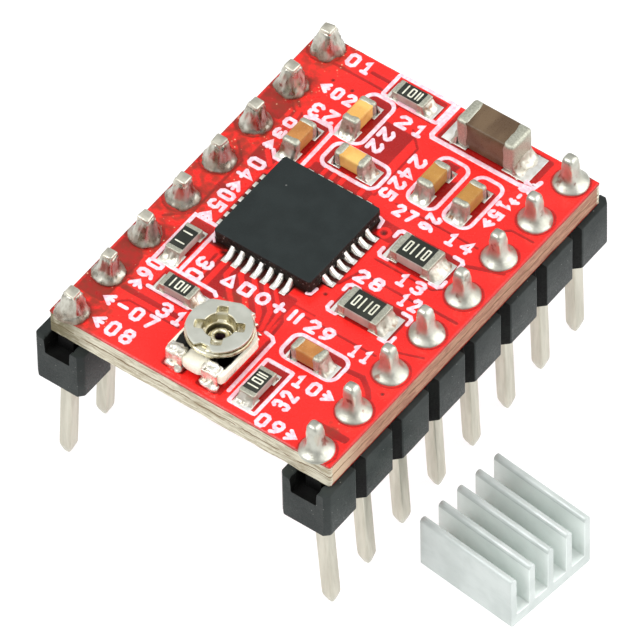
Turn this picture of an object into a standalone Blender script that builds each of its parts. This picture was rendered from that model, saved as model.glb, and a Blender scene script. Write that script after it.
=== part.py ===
"""Stepper driver module.

A small red circuit board stands on two rows of header pins. It carries a driver chip, seven
capacitors, six resistors and a current-limit trimmer whose slotted rotor turns. A finned
aluminium heatsink lies loose beside it. X runs across the board, Y along it and Z up; the
origin is the middle of the pin grid, on the plane of the pin tips.
"""

import math

import bmesh
import bpy
from mathutils import Matrix, Vector

MM = 0.001
GAP = 0.015 * MM               # clearance between touching pieces

# Header pins and their plastic strips
PITCH = 2.54 * MM
PINS_PER_ROW = 8
ROW_X = 6.35 * MM              # each row's distance from the middle
PIN_SIDE = 0.6 * MM
PIN_TAIL = 5.55 * MM           # below the plastic strip
PIN_STUB = 1.5 * MM            # above the board
PIN_POINT = 0.75 * MM          # length of the tapered lower end
PIN_POINT_SCALE = 0.42
PIN_CROWN = 0.3 * MM           # length of the tapered upper end
PIN_CROWN_SCALE = 0.6
STRIP_WIDTH = 2.5 * MM
STRIP_HEIGHT = 2.54 * MM
STRIP_END = 1.07 * MM          # beyond the last pin
STRIP_CORNER = 0.37 * MM       # size of the notches between segments
STRIP_END_CORNER = 0.22 * MM   # size of the corners at the strip's own ends
CHANNEL_WIDTH = 1.4 * MM       # trough along the side that meets the board
CHANNEL_DEPTH = 0.8 * MM

# Circuit board
BOARD_WIDTH = 14.5 * MM
BOARD_LENGTH = 19.0 * MM
BOARD_THICKNESS = 1.3 * MM
BOARD_CENTRE = (0.1 * MM, 0.1 * MM)
BOARD_CORNER = 0.2 * MM
HOLE_RADIUS = 0.52 * MM
BOARD_BOTTOM = PIN_TAIL + STRIP_HEIGHT + GAP
BOARD_TOP = BOARD_BOTTOM + BOARD_THICKNESS
SEAT = BOARD_TOP + GAP         # where surface-mounted pieces sit
PIN_LENGTH = BOARD_TOP + PIN_STUB

# Solder joints round the pins
JOINT_RADIUS = 0.77 * MM
JOINT_HEIGHT = 1.1 * MM
JOINT_RIM = 0.05 * MM          # height of the thin outer rim
JOINT_SLOPE = ((0.46 * MM, 1.0), (0.5 * MM, 0.56), (0.6 * MM, 0.24))   # radius, share of height

# Driver chip
CHIP_SIDE = 5.0 * MM
CHIP_HEIGHT = 0.72 * MM
CHIP_STANDOFF = 0.03 * MM
CHIP_CENTRE = (-1.33 * MM, 0.08 * MM)
CHIP_CORNER = 0.25 * MM
THERMAL_PAD = (3.15 * MM, 0.2 * MM)
DIE = (2.4 * MM, 0.25 * MM)

# Chip components: length, width, height and width of the metal end bands
SIZE_0603_CAPACITOR = (1.55 * MM, 0.8 * MM, 0.8 * MM, 0.3 * MM)
SIZE_0603_RESISTOR = (1.6 * MM, 0.8 * MM, 0.45 * MM, 0.28 * MM)
SIZE_0805_RESISTOR = (2.0 * MM, 1.25 * MM, 0.55 * MM, 0.35 * MM)
SIZE_1206_CAPACITOR = (2.95 * MM, 1.45 * MM, 1.62 * MM, 0.5 * MM)
BAND_RISE = 0.02 * MM          # how far the end bands stand proud
COMPONENT_ROUNDING = 0.05 * MM

# Trimmer: positions are from its rotor's axis, heights from the board's top
TRIMMER_CENTRE = (-0.17 * MM, -6.85 * MM)
BASE_WIDTH = 2.95 * MM
BASE_FRONT = 1.84 * MM
BASE_REAR = 1.65 * MM
BASE_BOTTOM = 0.3 * MM
BASE_TOP = 0.8 * MM
BASE_CHAMFER = 1.0 * MM        # at the rear corners
BASE_FRONT_CORNER = 0.22 * MM
BASE_WELL_RADIUS = 0.78 * MM   # sunk round the eyelet, so that the rotor's hub drops in
BASE_WELL_DEPTH = 0.22 * MM
TERMINAL_WIDTH = 0.85 * MM
TERMINAL_OFFSET = 0.9 * MM
TERMINAL_SHEET = 0.09 * MM
TERMINAL_LIP = 0.45 * MM
TERMINAL_FOOT = 0.7 * MM
REAR_TERMINAL_WIDTH = 1.1 * MM
REAR_TERMINAL_LIP = 0.3 * MM
TRACK_THICKNESS = 0.04 * MM
TRACK_MARGIN = 0.15 * MM       # between the track and the base's edges
TRACK_INNER = 0.84 * MM
TRACK_MOUTH = math.radians(66)  # the gap that faces the front
TRACK_FRONT_GAP = 0.04 * MM    # between the track and the front terminals' leaves
EYELET_BORE = 0.21 * MM
EYELET_RADIUS = 0.32 * MM
EYELET_FLANGE = 0.45 * MM
EYELET_LIP = 0.07 * MM         # thickness of the rolled flange
EYELET_BOTTOM = 0.06 * MM
ROTOR_PLAY = 0.03 * MM         # between the rotor and the eyelet it turns on
HUB_RADIUS = 0.57 * MM         # floor of the rotor's dish, held under the eyelet's flange
HUB_TOP = 0.7 * MM
LEDGE_RADIUS = 0.67 * MM
LEDGE_TOP = 0.9 * MM
ROTOR_RADIUS = 1.42 * MM
ROTOR_TOP = 1.4 * MM
ROTOR_PLATE = 0.13 * MM        # thickness of the slotted top plate
ROTOR_RING = 1.48 * MM         # radius of the ring under the plate
RING_TOP = 1.2 * MM
RING_BOTTOM = 1.04 * MM
RING_WIDTH = 0.12 * MM         # from its inner side to the plate's edge
ROTOR_SHEET = 0.08 * MM
ROTOR_EDGE = 0.04 * MM         # size of the plate's broken edges
SLOT_WIDTH = 0.46 * MM
SLOT_REACH = 1.04 * MM
SLOT_ANGLE = math.radians(28)
STOP_ANGLE = math.radians(-85)
STOP_NOTCH = (0.3 * MM, 0.6 * MM)
WIPER_RADIUS = 1.15 * MM
WIPER_SHEET = 0.07 * MM

# Heatsink, lying beside the board
HEATSINK_LENGTH = 5.12 * MM    # along the fins
HEATSINK_WIDTH = 4.9 * MM      # across the fins
HEATSINK_HEIGHT = 2.97 * MM
HEATSINK_FLOOR = 0.62 * MM
HEATSINK_FOOT = 0.12 * MM      # corners cut off along the lower edges
FIN_COUNT = 5
FIN_THICKNESS = 0.36 * MM
HEATSINK_CENTRE = (11.6 * MM, -3.08 * MM)
HEATSINK_YAW = math.radians(-6.3)


def clear_scene():
    for leftover in list(bpy.data.objects):
        bpy.data.objects.remove(leftover, do_unlink=True)


def make_collection(name):
    collection = bpy.data.collections.new(name)
    bpy.context.scene.collection.children.link(collection)
    return collection


def make_material(name, colour, roughness, metallic):
    material = bpy.data.materials.new(name)
    material.use_nodes = True
    shader = material.node_tree.nodes["Principled BSDF"]
    shader.inputs["Base Color"].default_value = (*colour, 1.0)
    shader.inputs["Roughness"].default_value = roughness
    shader.inputs["Metallic"].default_value = metallic
    material.diffuse_color = (*colour, 1.0)
    return material


clear_scene()
PARTS = make_collection("stepper_driver_module")
CUTTERS = make_collection("stepper_driver_module_cutters")

SOLDER_MASK = make_material("red_solder_mask", (0.62, 0.015, 0.012), 0.3, 0.0)
BLACK_PLASTIC = make_material("black_plastic", (0.022, 0.026, 0.028), 0.5, 0.0)
TIN = make_material("tin_plate", (0.66, 0.64, 0.58), 0.35, 1.0)
SOLDER = make_material("solder", (0.7, 0.69, 0.66), 0.3, 1.0)
MOULD = make_material("chip_mould", (0.03, 0.037, 0.037), 0.6, 0.0)
COPPER = make_material("copper", (0.72, 0.35, 0.2), 0.35, 1.0)
SILICON = make_material("silicon", (0.12, 0.12, 0.14), 0.2, 0.4)
PALE_CERAMIC = make_material("pale_capacitor", (0.72, 0.42, 0.13), 0.45, 0.0)
TAN_CERAMIC = make_material("tan_capacitor", (0.55, 0.25, 0.08), 0.45, 0.0)
BROWN_CERAMIC = make_material("brown_capacitor", (0.15, 0.085, 0.055), 0.4, 0.0)
RESISTOR_COAT = make_material("resistor_coat", (0.03, 0.035, 0.033), 0.4, 0.0)
WHITE_CERAMIC = make_material("white_ceramic", (0.82, 0.8, 0.75), 0.4, 0.0)
CARBON_TRACK = make_material("carbon_track", (0.012, 0.012, 0.012), 0.35, 0.0)
STEEL = make_material("rotor_steel", (0.66, 0.65, 0.58), 0.3, 1.0)
ALUMINIUM = make_material("anodised_aluminium", (0.72, 0.76, 0.75), 0.4, 1.0)


def add_object(name, mesh, material=None, location=(0, 0, 0), yaw=0.0):
    thing = bpy.data.objects.new(name, mesh)
    thing.location = location
    thing.rotation_euler = (0, 0, yaw)
    if material is None:
        CUTTERS.objects.link(thing)
        thing.hide_render = True
        thing.display_type = "WIRE"
    else:
        if not mesh.materials:
            mesh.materials.append(material)
        PARTS.objects.link(thing)
    return thing


def box_mesh(name, size, centre=(0, 0, 0)):
    shape = bmesh.new()
    placing = Matrix.Translation(Vector(centre)) @ Matrix.Diagonal((*size, 1.0))
    bmesh.ops.create_cube(shape, size=1.0, matrix=placing)
    mesh = bpy.data.meshes.new(name)
    shape.to_mesh(mesh)
    shape.free()
    return mesh


def plate_mesh(name, outlines, thickness):
    """Solid plate from closed 2D outlines, the inner ones being holes; its bottom is at z = 0."""
    curve = bpy.data.curves.new(name, "CURVE")
    curve.dimensions = "2D"
    curve.fill_mode = "BOTH"
    curve.extrude = thickness / 2
    for outline in outlines:
        spline = curve.splines.new("POLY")
        spline.points.add(len(outline) - 1)
        for point, (x, y) in zip(spline.points, outline):
            point.co = (x, y, 0, 1)
        spline.use_cyclic_u = True
    drawing = bpy.data.objects.new(name, curve)
    CUTTERS.objects.link(drawing)
    bpy.context.view_layer.update()
    evaluated = drawing.evaluated_get(bpy.context.evaluated_depsgraph_get())
    mesh = bpy.data.meshes.new_from_object(evaluated)
    mesh.transform(Matrix.Translation((0, 0, thickness / 2)))
    shape = bmesh.new()
    shape.from_mesh(mesh)
    bmesh.ops.remove_doubles(shape, verts=shape.verts, dist=1e-7)
    bmesh.ops.recalc_face_normals(shape, faces=shape.faces)
    shape.to_mesh(mesh)
    shape.free()
    bpy.data.objects.remove(drawing, do_unlink=True)
    bpy.data.curves.remove(curve)
    mesh.shade_flat()
    return mesh


def bar_mesh(name, section, length):
    """Solid bar centred along X, its section given in the plane of Y and Z."""
    mesh = plate_mesh(name, [section], length)
    mesh.transform(Matrix(((0, 0, 1, -length / 2), (1, 0, 0, 0), (0, 1, 0, 0), (0, 0, 0, 1))))
    return mesh


def turn(thing, segments):
    """Turn the object's profile in the XZ plane a full circle about its Z axis."""
    screw = thing.modifiers.new("turned", "SCREW")
    screw.angle = math.tau
    screw.steps = segments
    screw.render_steps = segments
    screw.use_merge_vertices = True
    screw.merge_threshold = 1e-7


def profile_mesh(name, points, closed):
    edges = [(i, i + 1) for i in range(len(points) - 1)]
    if closed:
        edges.append((len(points) - 1, 0))
    mesh = bpy.data.meshes.new(name)
    mesh.from_pydata([(radius, 0, height) for radius, height in points], edges, [])
    return mesh


def combine(thing, other, operation):
    boolean = thing.modifiers.new(other.name, "BOOLEAN")
    boolean.operation = operation
    boolean.object = other


def round_edges(thing, width, segments=1):
    bevel = thing.modifiers.new("rounded", "BEVEL")
    bevel.width = width
    bevel.segments = segments


def bake(thing):
    """Replace the object's mesh with its evaluated one, so that copies can share it."""
    bpy.context.view_layer.update()
    evaluated = thing.evaluated_get(bpy.context.evaluated_depsgraph_get())
    mesh = bpy.data.meshes.new_from_object(evaluated)
    thing.modifiers.clear()
    thing.data = mesh
    return mesh


def arc(centre, radius, start, end, steps):
    angles = [start + (end - start) * i / steps for i in range(steps + 1)]
    return [(centre[0] + radius * math.cos(a), centre[1] + radius * math.sin(a)) for a in angles]


def square(x, y, half):
    return [(x + half, y + half), (x - half, y + half), (x - half, y - half), (x + half, y - half)]


def octagon(half, corner):
    """Square about the origin with its corners cut off."""
    inner = half - corner
    return [(half, inner), (inner, half), (-inner, half), (-half, inner),
            (-half, -inner), (-inner, -half), (inner, -half), (half, -inner)]


def round_hole(x, y, radius):
    return arc((x, y), radius, 0, math.tau * 15 / 16, 15)


def pin_y(number):
    """Position along the row of pin 1 to 8, counted from the near end."""
    return (number - (PINS_PER_ROW + 1) / 2) * PITCH


def pin_places():
    """Row name, number and position of each pin, row by row from the near end."""
    for row, x in (("left", -ROW_X), ("right", ROW_X)):
        for number in range(1, PINS_PER_ROW + 1):
            yield row, number, x, pin_y(number)


def make_board():
    half_width = BOARD_WIDTH / 2
    half_length = BOARD_LENGTH / 2
    outline = []
    for quarter, (sx, sy) in enumerate(((1, 1), (-1, 1), (-1, -1), (1, -1))):
        corner = (BOARD_CENTRE[0] + sx * (half_width - BOARD_CORNER),
                  BOARD_CENTRE[1] + sy * (half_length - BOARD_CORNER))
        start = quarter * math.pi / 2
        outline += arc(corner, BOARD_CORNER, start, start + math.pi / 2, 3)
    holes = [round_hole(x, y, HOLE_RADIUS) for _, _, x, y in pin_places()]
    mesh = plate_mesh("pcb", [outline, *holes], BOARD_THICKNESS)
    add_object("pcb", mesh, SOLDER_MASK, (0, 0, BOARD_BOTTOM))


def make_header_strips():
    """Plastic strips: eight snap-off segments each, with a trough along the board side."""
    half = STRIP_WIDTH / 2
    neck = half - STRIP_CORNER
    flat = PITCH / 2 - STRIP_CORNER
    end = pin_y(PINS_PER_ROW) + STRIP_END
    side = [(half - STRIP_END_CORNER, -end), (half, -end + STRIP_END_CORNER)]
    for number in range(1, PINS_PER_ROW):
        y = pin_y(number)
        side += [(half, y + flat), (neck, y + PITCH / 2), (half, y + PITCH - flat)]
    side += [(half, end - STRIP_END_CORNER), (half - STRIP_END_CORNER, end)]
    outline = side + [(-x, y) for x, y in reversed(side)]
    reach = PIN_SIDE / 2 + GAP
    holes = [square(0, pin_y(number), reach) for number in range(1, PINS_PER_ROW + 1)]
    mesh = plate_mesh("header_strip", [outline, *holes], STRIP_HEIGHT)
    channel = (CHANNEL_WIDTH, 2 * (end + PITCH), 2 * CHANNEL_DEPTH)
    for row, x in (("left", -ROW_X), ("right", ROW_X)):
        strip = add_object(f"header_strip_{row}", mesh, BLACK_PLASTIC, (x, 0, PIN_TAIL))
        trough = add_object(f"channel_cutter_{row}", box_mesh("channel", channel),
                            location=(x, 0, PIN_TAIL + STRIP_HEIGHT))
        combine(strip, trough, "DIFFERENCE")


def taper(shape, face, length, scale):
    """Pull a square end face out along its normal and shrink it."""
    normal = face.normal.copy()
    grown = bmesh.ops.extrude_discrete_faces(shape, faces=[face])["faces"][0]
    bmesh.ops.translate(shape, verts=grown.verts, vec=normal * length)
    middle = grown.calc_center_median()
    bmesh.ops.scale(shape, verts=grown.verts, vec=(scale, scale, 1),
                    space=Matrix.Translation(-middle))


def make_pins():
    shaft = PIN_LENGTH - PIN_POINT - PIN_CROWN
    mesh = box_mesh("header_pin", (PIN_SIDE, PIN_SIDE, shaft), (0, 0, PIN_POINT + shaft / 2))
    shape = bmesh.new()
    shape.from_mesh(mesh)
    shape.normal_update()
    low = min(shape.faces, key=lambda face: face.calc_center_median().z)
    high = max(shape.faces, key=lambda face: face.calc_center_median().z)
    taper(shape, low, PIN_POINT, PIN_POINT_SCALE)
    taper(shape, high, PIN_CROWN, PIN_CROWN_SCALE)
    shape.to_mesh(mesh)
    shape.free()
    for row, number, x, y in pin_places():
        add_object(f"header_pin_{row}_{number}", mesh, TIN, (x, y, 0))


def make_solder_joints():
    """Solder that fills each board hole round its pin and rises up the pin as a hollow cone."""
    barrel = HOLE_RADIUS - GAP
    profile = [(0, JOINT_HEIGHT),
               *[(radius, share * JOINT_HEIGHT) for radius, share in JOINT_SLOPE],
               (JOINT_RADIUS, JOINT_RIM),
               (JOINT_RADIUS, GAP),
               (barrel, GAP),
               (barrel, -BOARD_THICKNESS),
               (0, -BOARD_THICKNESS)]
    first = add_object("solder_joint", profile_mesh("solder_joint", profile, False), SOLDER)
    turn(first, 12)
    side = PIN_SIDE + 2 * GAP
    bore = add_object("pin_hole_cutter", box_mesh("pin_hole", (side, side, 3 * BOARD_THICKNESS)))
    combine(first, bore, "DIFFERENCE")
    mesh = bake(first)
    bpy.data.objects.remove(first, do_unlink=True)
    bpy.data.objects.remove(bore, do_unlink=True)
    for row, number, x, y in pin_places():
        add_object(f"solder_joint_{row}_{number}", mesh, SOLDER, (x, y, BOARD_TOP))


def make_chip():
    """Moulded package with the die and its copper pad in pockets on its underside."""
    x, y = CHIP_CENTRE
    bottom = BOARD_TOP + CHIP_STANDOFF
    outline = octagon(CHIP_SIDE / 2, CHIP_CORNER)
    mesh = plate_mesh("chip_mould", [outline], CHIP_HEIGHT)
    mould = add_object("chip_mould", mesh, MOULD, (x, y, bottom))
    base = SEAT
    for label, (side, height), material in (("thermal_pad", THERMAL_PAD, COPPER), ("die", DIE, SILICON)):
        block = box_mesh(f"chip_{label}", (side, side, height), (0, 0, height / 2))
        add_object(f"chip_{label}", block, material, (x, y, base))
        base += height + GAP
        room = (side + 2 * GAP, side + 2 * GAP, 2 * (base - bottom))
        pocket = add_object(f"chip_{label}_pocket", box_mesh(f"{label}_pocket", room),
                            location=(x, y, bottom))
        combine(mould, pocket, "DIFFERENCE")


def component_mesh(name, size):
    """Chip component: a body with slightly thicker metal bands over both ends."""
    length, width, height, band = size
    body_size = (length - 2 * BAND_RISE, width - 2 * BAND_RISE, height - 2 * BAND_RISE)
    body = add_object(name, box_mesh(name, body_size, (0, 0, height / 2)), TIN)
    round_edges(body, COMPONENT_ROUNDING / 2)
    ends = []
    for side in (-1, 1):
        centre = (side * (length - band) / 2, 0, height / 2)
        end = add_object(f"{name}_end_{side}", box_mesh("end", (band, width, height), centre))
        round_edges(end, COMPONENT_ROUNDING)
        ends.append(end)
        combine(body, end, "UNION")
    mesh = bake(body)
    mesh.materials.clear()
    for thing in (body, *ends):
        bpy.data.objects.remove(thing, do_unlink=True)
    return mesh


def make_components():
    small = SIZE_0603_CAPACITOR
    thin = SIZE_0603_RESISTOR
    wide = SIZE_0805_RESISTOR
    # Name, size, position in millimetres, whether it lies along Y, and material
    layout = (
        ("capacitor_bulk", SIZE_1206_CAPACITOR, 2.67, 8.5, False, BROWN_CERAMIC),
        ("capacitor_far_left", small, -2.8, 6.42, True, PALE_CERAMIC),
        ("capacitor_left", small, -4.12, 4.0, True, TAN_CERAMIC),
        ("capacitor_far_middle", small, -1.53, 4.27, False, PALE_CERAMIC),
        ("capacitor_pair_left", small, 1.8, 5.4, True, PALE_CERAMIC),
        ("capacitor_pair_right", small, 3.64, 5.4, True, PALE_CERAMIC),
        ("capacitor_near_right", small, 3.27, -5.25, False, TAN_CERAMIC),
        ("resistor_far_left", thin, -1.67, 8.63, False, RESISTOR_COAT),
        ("resistor_left", thin, -4.7, -3.3, True, RESISTOR_COAT),
        ("resistor_near_left", thin, -3.3, -5.48, False, RESISTOR_COAT),
        ("resistor_near_right", thin, 2.4, -7.7, True, RESISTOR_COAT),
        ("sense_resistor_far", wide, 3.65, 1.72, False, RESISTOR_COAT),
        ("sense_resistor_near", wide, 3.63, -1.9, False, RESISTOR_COAT),
    )
    shapes = {}
    for name, size, x, y, along_y, material in layout:
        if (size, material) not in shapes:
            shapes[size, material] = component_mesh(name, size)
        yaw = math.pi / 2 if along_y else 0.0
        add_object(name, shapes[size, material], material, (x * MM, y * MM, SEAT), yaw)


def trimmer_point(x=0.0, y=0.0, height=0.0):
    return TRIMMER_CENTRE[0] + x, TRIMMER_CENTRE[1] + y, BOARD_TOP + height


def make_trimmer_base():
    """Ceramic block with its rear corners cut off and a well round the eyelet's hole."""
    half = BASE_WIDTH / 2
    right = [(half - BASE_FRONT_CORNER, -BASE_FRONT),
             (half, -BASE_FRONT + BASE_FRONT_CORNER),
             (half, BASE_REAR - BASE_CHAMFER),
             (half - BASE_CHAMFER, BASE_REAR)]
    outline = right + [(-x, y) for x, y in reversed(right)]
    bore = round_hole(0, 0, EYELET_RADIUS + GAP)
    mesh = plate_mesh("trimmer_base", [outline, bore], BASE_TOP - BASE_BOTTOM)
    base = add_object("trimmer_base", mesh, WHITE_CERAMIC, trimmer_point(height=BASE_BOTTOM))
    depth = 2 * BASE_WELL_DEPTH
    disc = arc((0, 0), BASE_WELL_RADIUS, 0, math.tau * 23 / 24, 23)
    well = add_object("well_cutter", plate_mesh("well", [disc], depth),
                      location=trimmer_point(height=BASE_TOP - BASE_WELL_DEPTH))
    combine(base, well, "DIFFERENCE")


def make_trimmer_track():
    """Horseshoe of resistive carbon on the base, open towards the front."""
    half = BASE_WIDTH / 2 - TRACK_MARGIN
    front = -BASE_FRONT + TERMINAL_LIP + TRACK_FRONT_GAP
    rear = BASE_REAR - TRACK_MARGIN
    corner = BASE_CHAMFER
    mouth = -math.pi / 2 + TRACK_MOUTH / 2
    inner = arc((0, 0), TRACK_INNER, mouth, mouth + math.tau - TRACK_MOUTH, 18)
    opening = inner[0][0]
    outline = [(opening, front),
               (half, front),
               (half, rear - corner),
               (half - corner, rear),
               (-half + corner, rear),
               (-half, rear - corner),
               (-half, front),
               (-opening, front),
               *reversed(inner)]
    mesh = plate_mesh("trimmer_track", [outline], TRACK_THICKNESS)
    add_object("trimmer_track", mesh, CARBON_TRACK, trimmer_point(height=BASE_TOP + GAP))


def make_terminal(name, x, edge, outwards, lip, width):
    """Folded sheet round one edge of the base: a foot below, a wall outside and a lip on top.

    The edge is the base's own, outwards is the side the wall is on, +1 or -1 along Y, and the
    lip is how far the top leaf reaches in over the base.
    """
    wall = edge + outwards * GAP
    outer = wall + outwards * TERMINAL_SHEET
    lip_end = edge - outwards * lip
    foot_end = edge - outwards * TERMINAL_FOOT
    foot_top = GAP + TERMINAL_SHEET
    top = BASE_TOP + GAP
    section = [(outer, GAP), (outer, top + TERMINAL_SHEET), (lip_end, top + TERMINAL_SHEET), (lip_end, top),
               (wall, top), (wall, foot_top), (foot_end, foot_top), (foot_end, GAP)]
    add_object(name, bar_mesh(name, section, width), TIN, trimmer_point(x))


def make_trimmer_terminals():
    for label, x in (("left", -TERMINAL_OFFSET), ("right", TERMINAL_OFFSET)):
        make_terminal(f"trimmer_terminal_{label}", x, -BASE_FRONT, -1, TERMINAL_LIP, TERMINAL_WIDTH)
    make_terminal("trimmer_terminal_rear", 0.0, BASE_REAR, 1, REAR_TERMINAL_LIP, REAR_TERMINAL_WIDTH)


def make_trimmer_eyelet():
    """Hollow rivet through the base, rolled over above the rotor's hub."""
    flange = HUB_TOP + GAP
    profile = [(EYELET_BORE, flange + EYELET_LIP),
               (EYELET_FLANGE - EYELET_LIP / 2, flange + EYELET_LIP),
               (EYELET_FLANGE, flange + EYELET_LIP / 2),
               (EYELET_FLANGE, flange),
               (EYELET_RADIUS, flange),
               (EYELET_RADIUS, EYELET_BOTTOM),
               (EYELET_BORE, EYELET_BOTTOM)]
    mesh = profile_mesh("trimmer_eyelet", profile, True)
    eyelet = add_object("trimmer_eyelet", mesh, STEEL, trimmer_point())
    turn(eyelet, 24)


def make_trimmer_rotor():
    """Slotted plate with a dished hub and a ring under its rim, all in one pressing."""
    bore = EYELET_RADIUS + ROTOR_PLAY
    under = ROTOR_TOP - ROTOR_PLATE
    wall = LEDGE_RADIUS + ROTOR_SHEET
    profile = [(bore, HUB_TOP),
               (HUB_RADIUS, HUB_TOP),
               (HUB_RADIUS, LEDGE_TOP),
               (LEDGE_RADIUS, LEDGE_TOP),
               (LEDGE_RADIUS, ROTOR_TOP),
               (ROTOR_RADIUS - ROTOR_EDGE, ROTOR_TOP),
               (ROTOR_RADIUS, ROTOR_TOP - ROTOR_EDGE),
               (ROTOR_RADIUS, RING_TOP + ROTOR_EDGE),
               (ROTOR_RING, RING_TOP),
               (ROTOR_RING, RING_BOTTOM),
               (ROTOR_RADIUS - RING_WIDTH, RING_BOTTOM),
               (ROTOR_RADIUS - RING_WIDTH, under),
               (wall, under),
               (wall, BASE_TOP + GAP),
               (HUB_RADIUS + ROTOR_SHEET, BASE_TOP + GAP),
               (HUB_RADIUS + ROTOR_SHEET, HUB_TOP - ROTOR_SHEET),
               (bore, HUB_TOP - ROTOR_SHEET)]
    mesh = profile_mesh("trimmer_rotor", profile, True)
    rotor = add_object("trimmer_rotor", mesh, STEEL, trimmer_point())
    turn(rotor, 32)
    start = LEDGE_RADIUS - ROTOR_EDGE
    slot = box_mesh("slot", (SLOT_REACH - start, SLOT_WIDTH, 3 * ROTOR_PLATE),
                    ((SLOT_REACH + start) / 2, 0, 0))
    for arm in range(4):
        cutter = add_object(f"slot_cutter_{arm + 1}", slot, location=trimmer_point(height=ROTOR_TOP),
                            yaw=SLOT_ANGLE + arm * math.pi / 2)
        combine(rotor, cutter, "DIFFERENCE")
    depth, width = STOP_NOTCH
    notch = box_mesh("stop", (depth, width, 2 * (ROTOR_TOP - RING_TOP - ROTOR_EDGE)), (ROTOR_RADIUS, 0, 0))
    stop = add_object("stop_cutter", notch, location=trimmer_point(height=ROTOR_TOP), yaw=STOP_ANGLE)
    combine(rotor, stop, "DIFFERENCE")


def make_trimmer_wiper():
    """Spring ring under the rotor's plate, pressing on the track."""
    contact = BASE_TOP + 2 * GAP + TRACK_THICKNESS
    top = ROTOR_TOP - ROTOR_PLATE - GAP
    inner = LEDGE_RADIUS + ROTOR_SHEET + 2 * GAP
    profile = [(inner, top),
               (inner + WIPER_SHEET, top),
               (WIPER_RADIUS, contact + WIPER_SHEET),
               (WIPER_RADIUS, contact),
               (WIPER_RADIUS - 2 * WIPER_SHEET, contact),
               (inner, top - 2 * WIPER_SHEET)]
    mesh = profile_mesh("trimmer_wiper", profile, True)
    wiper = add_object("trimmer_wiper", mesh, STEEL, trimmer_point())
    turn(wiper, 24)


def make_heatsink():
    """Extruded comb: a floor with five round-tipped fins, drawn across and pushed along X."""
    half = HEATSINK_WIDTH / 2
    tip = FIN_THICKNESS / 2
    pitch = (HEATSINK_WIDTH - FIN_THICKNESS) / (FIN_COUNT - 1)
    outline = [(half - HEATSINK_FOOT, 0), (half, HEATSINK_FOOT)]
    for fin in reversed(range(FIN_COUNT)):
        y = -half + tip + fin * pitch
        if fin < FIN_COUNT - 1:
            outline.append((y + tip, HEATSINK_FLOOR))
        outline += arc((y, HEATSINK_HEIGHT - tip), tip, 0, math.pi, 6)
        if fin > 0:
            outline.append((y - tip, HEATSINK_FLOOR))
    outline += [(-half, HEATSINK_FOOT), (-half + HEATSINK_FOOT, 0)]
    mesh = bar_mesh("heatsink", outline, HEATSINK_LENGTH)
    add_object("heatsink", mesh, ALUMINIUM, (*HEATSINK_CENTRE, 0), HEATSINK_YAW)


make_board()
make_header_strips()
make_pins()
make_solder_joints()
make_chip()
make_components()
make_trimmer_base()
make_trimmer_track()
make_trimmer_terminals()
make_trimmer_eyelet()
make_trimmer_rotor()
make_trimmer_wiper()
make_heatsink()
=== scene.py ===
"""Visual model and studio for the stepper driver module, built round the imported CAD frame.

Shapes are worked out in millimetres in the frame's own axes and stored in metres. Heights on
the board are measured up from its component side, and the trimmer's points from its rotor's axis.
"""

import math
import random

import bmesh
import bpy
import numpy as np
from mathutils import Matrix, Vector, noise


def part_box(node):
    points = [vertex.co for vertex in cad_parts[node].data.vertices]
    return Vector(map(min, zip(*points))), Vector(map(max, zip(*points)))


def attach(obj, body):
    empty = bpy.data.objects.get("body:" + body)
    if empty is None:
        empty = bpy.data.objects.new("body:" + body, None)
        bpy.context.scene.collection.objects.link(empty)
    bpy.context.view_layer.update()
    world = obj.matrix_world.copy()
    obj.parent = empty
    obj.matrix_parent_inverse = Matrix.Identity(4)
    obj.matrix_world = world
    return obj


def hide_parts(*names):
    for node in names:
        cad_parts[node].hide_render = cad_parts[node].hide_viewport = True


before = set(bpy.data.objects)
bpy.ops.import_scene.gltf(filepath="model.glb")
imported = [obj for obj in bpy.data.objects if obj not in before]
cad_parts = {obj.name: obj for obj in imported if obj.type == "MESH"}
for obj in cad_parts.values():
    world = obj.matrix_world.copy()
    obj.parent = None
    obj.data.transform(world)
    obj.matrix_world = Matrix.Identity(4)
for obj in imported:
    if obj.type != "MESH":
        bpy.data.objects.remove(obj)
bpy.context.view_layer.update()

random.seed(11)
noise.seed_set(11)              # otherwise Blender seeds noise_vector from the clock

MM = 0.001


def box_mm(node):
    """Lowest corner, highest corner and middle of a CAD node, in millimetres."""
    low, high = (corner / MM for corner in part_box(node))
    return low, high, (low + high) / 2


BOARD_LOW, BOARD_HIGH, _ = box_mm("pcb")
TOP = BOARD_HIGH.z
BOTTOM = BOARD_LOW.z
PITCH = 2.54
ROW_X = 6.35
ROWS = range(1, 9)


def pin_y(number):
    """Pins are numbered from the near end, the one with the trimmer."""
    return (number - 4.5) * PITCH


# ---------------------------------------------------------------------------------- materials


class Nodes:
    """Adds shader nodes to a tree."""

    def __init__(self, tree):
        self.tree = tree

    def put(self, socket, value):
        """Link a socket to another, or set it to a constant."""
        if isinstance(value, bpy.types.NodeSocket):
            self.tree.links.new(value, socket)
        else:
            socket.default_value = (*value, 1.0) if socket.type == "RGBA" else value

    def node(self, kind, output, inputs, **settings):
        """Add a node, fill its inputs and give back one of its outputs."""
        node = self.tree.nodes.new("ShaderNode" + kind)
        for name, value in settings.items():
            setattr(node, name, value)
        for name, value in inputs.items():
            self.put(node.inputs[name], value)
        return node.outputs[output]

    def math(self, operation, a, b=0.0):
        return self.node("Math", 0, {0: a, 1: b}, operation=operation)

    def span(self, value, low, high, out_low=0.0, out_high=1.0):
        """Smooth step from out_low to out_high as the value goes from low to high."""
        numbers = dict(enumerate((value, low, high, out_low, out_high)))
        return self.node("MapRange", "Result", numbers, interpolation_type="SMOOTHSTEP")


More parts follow.
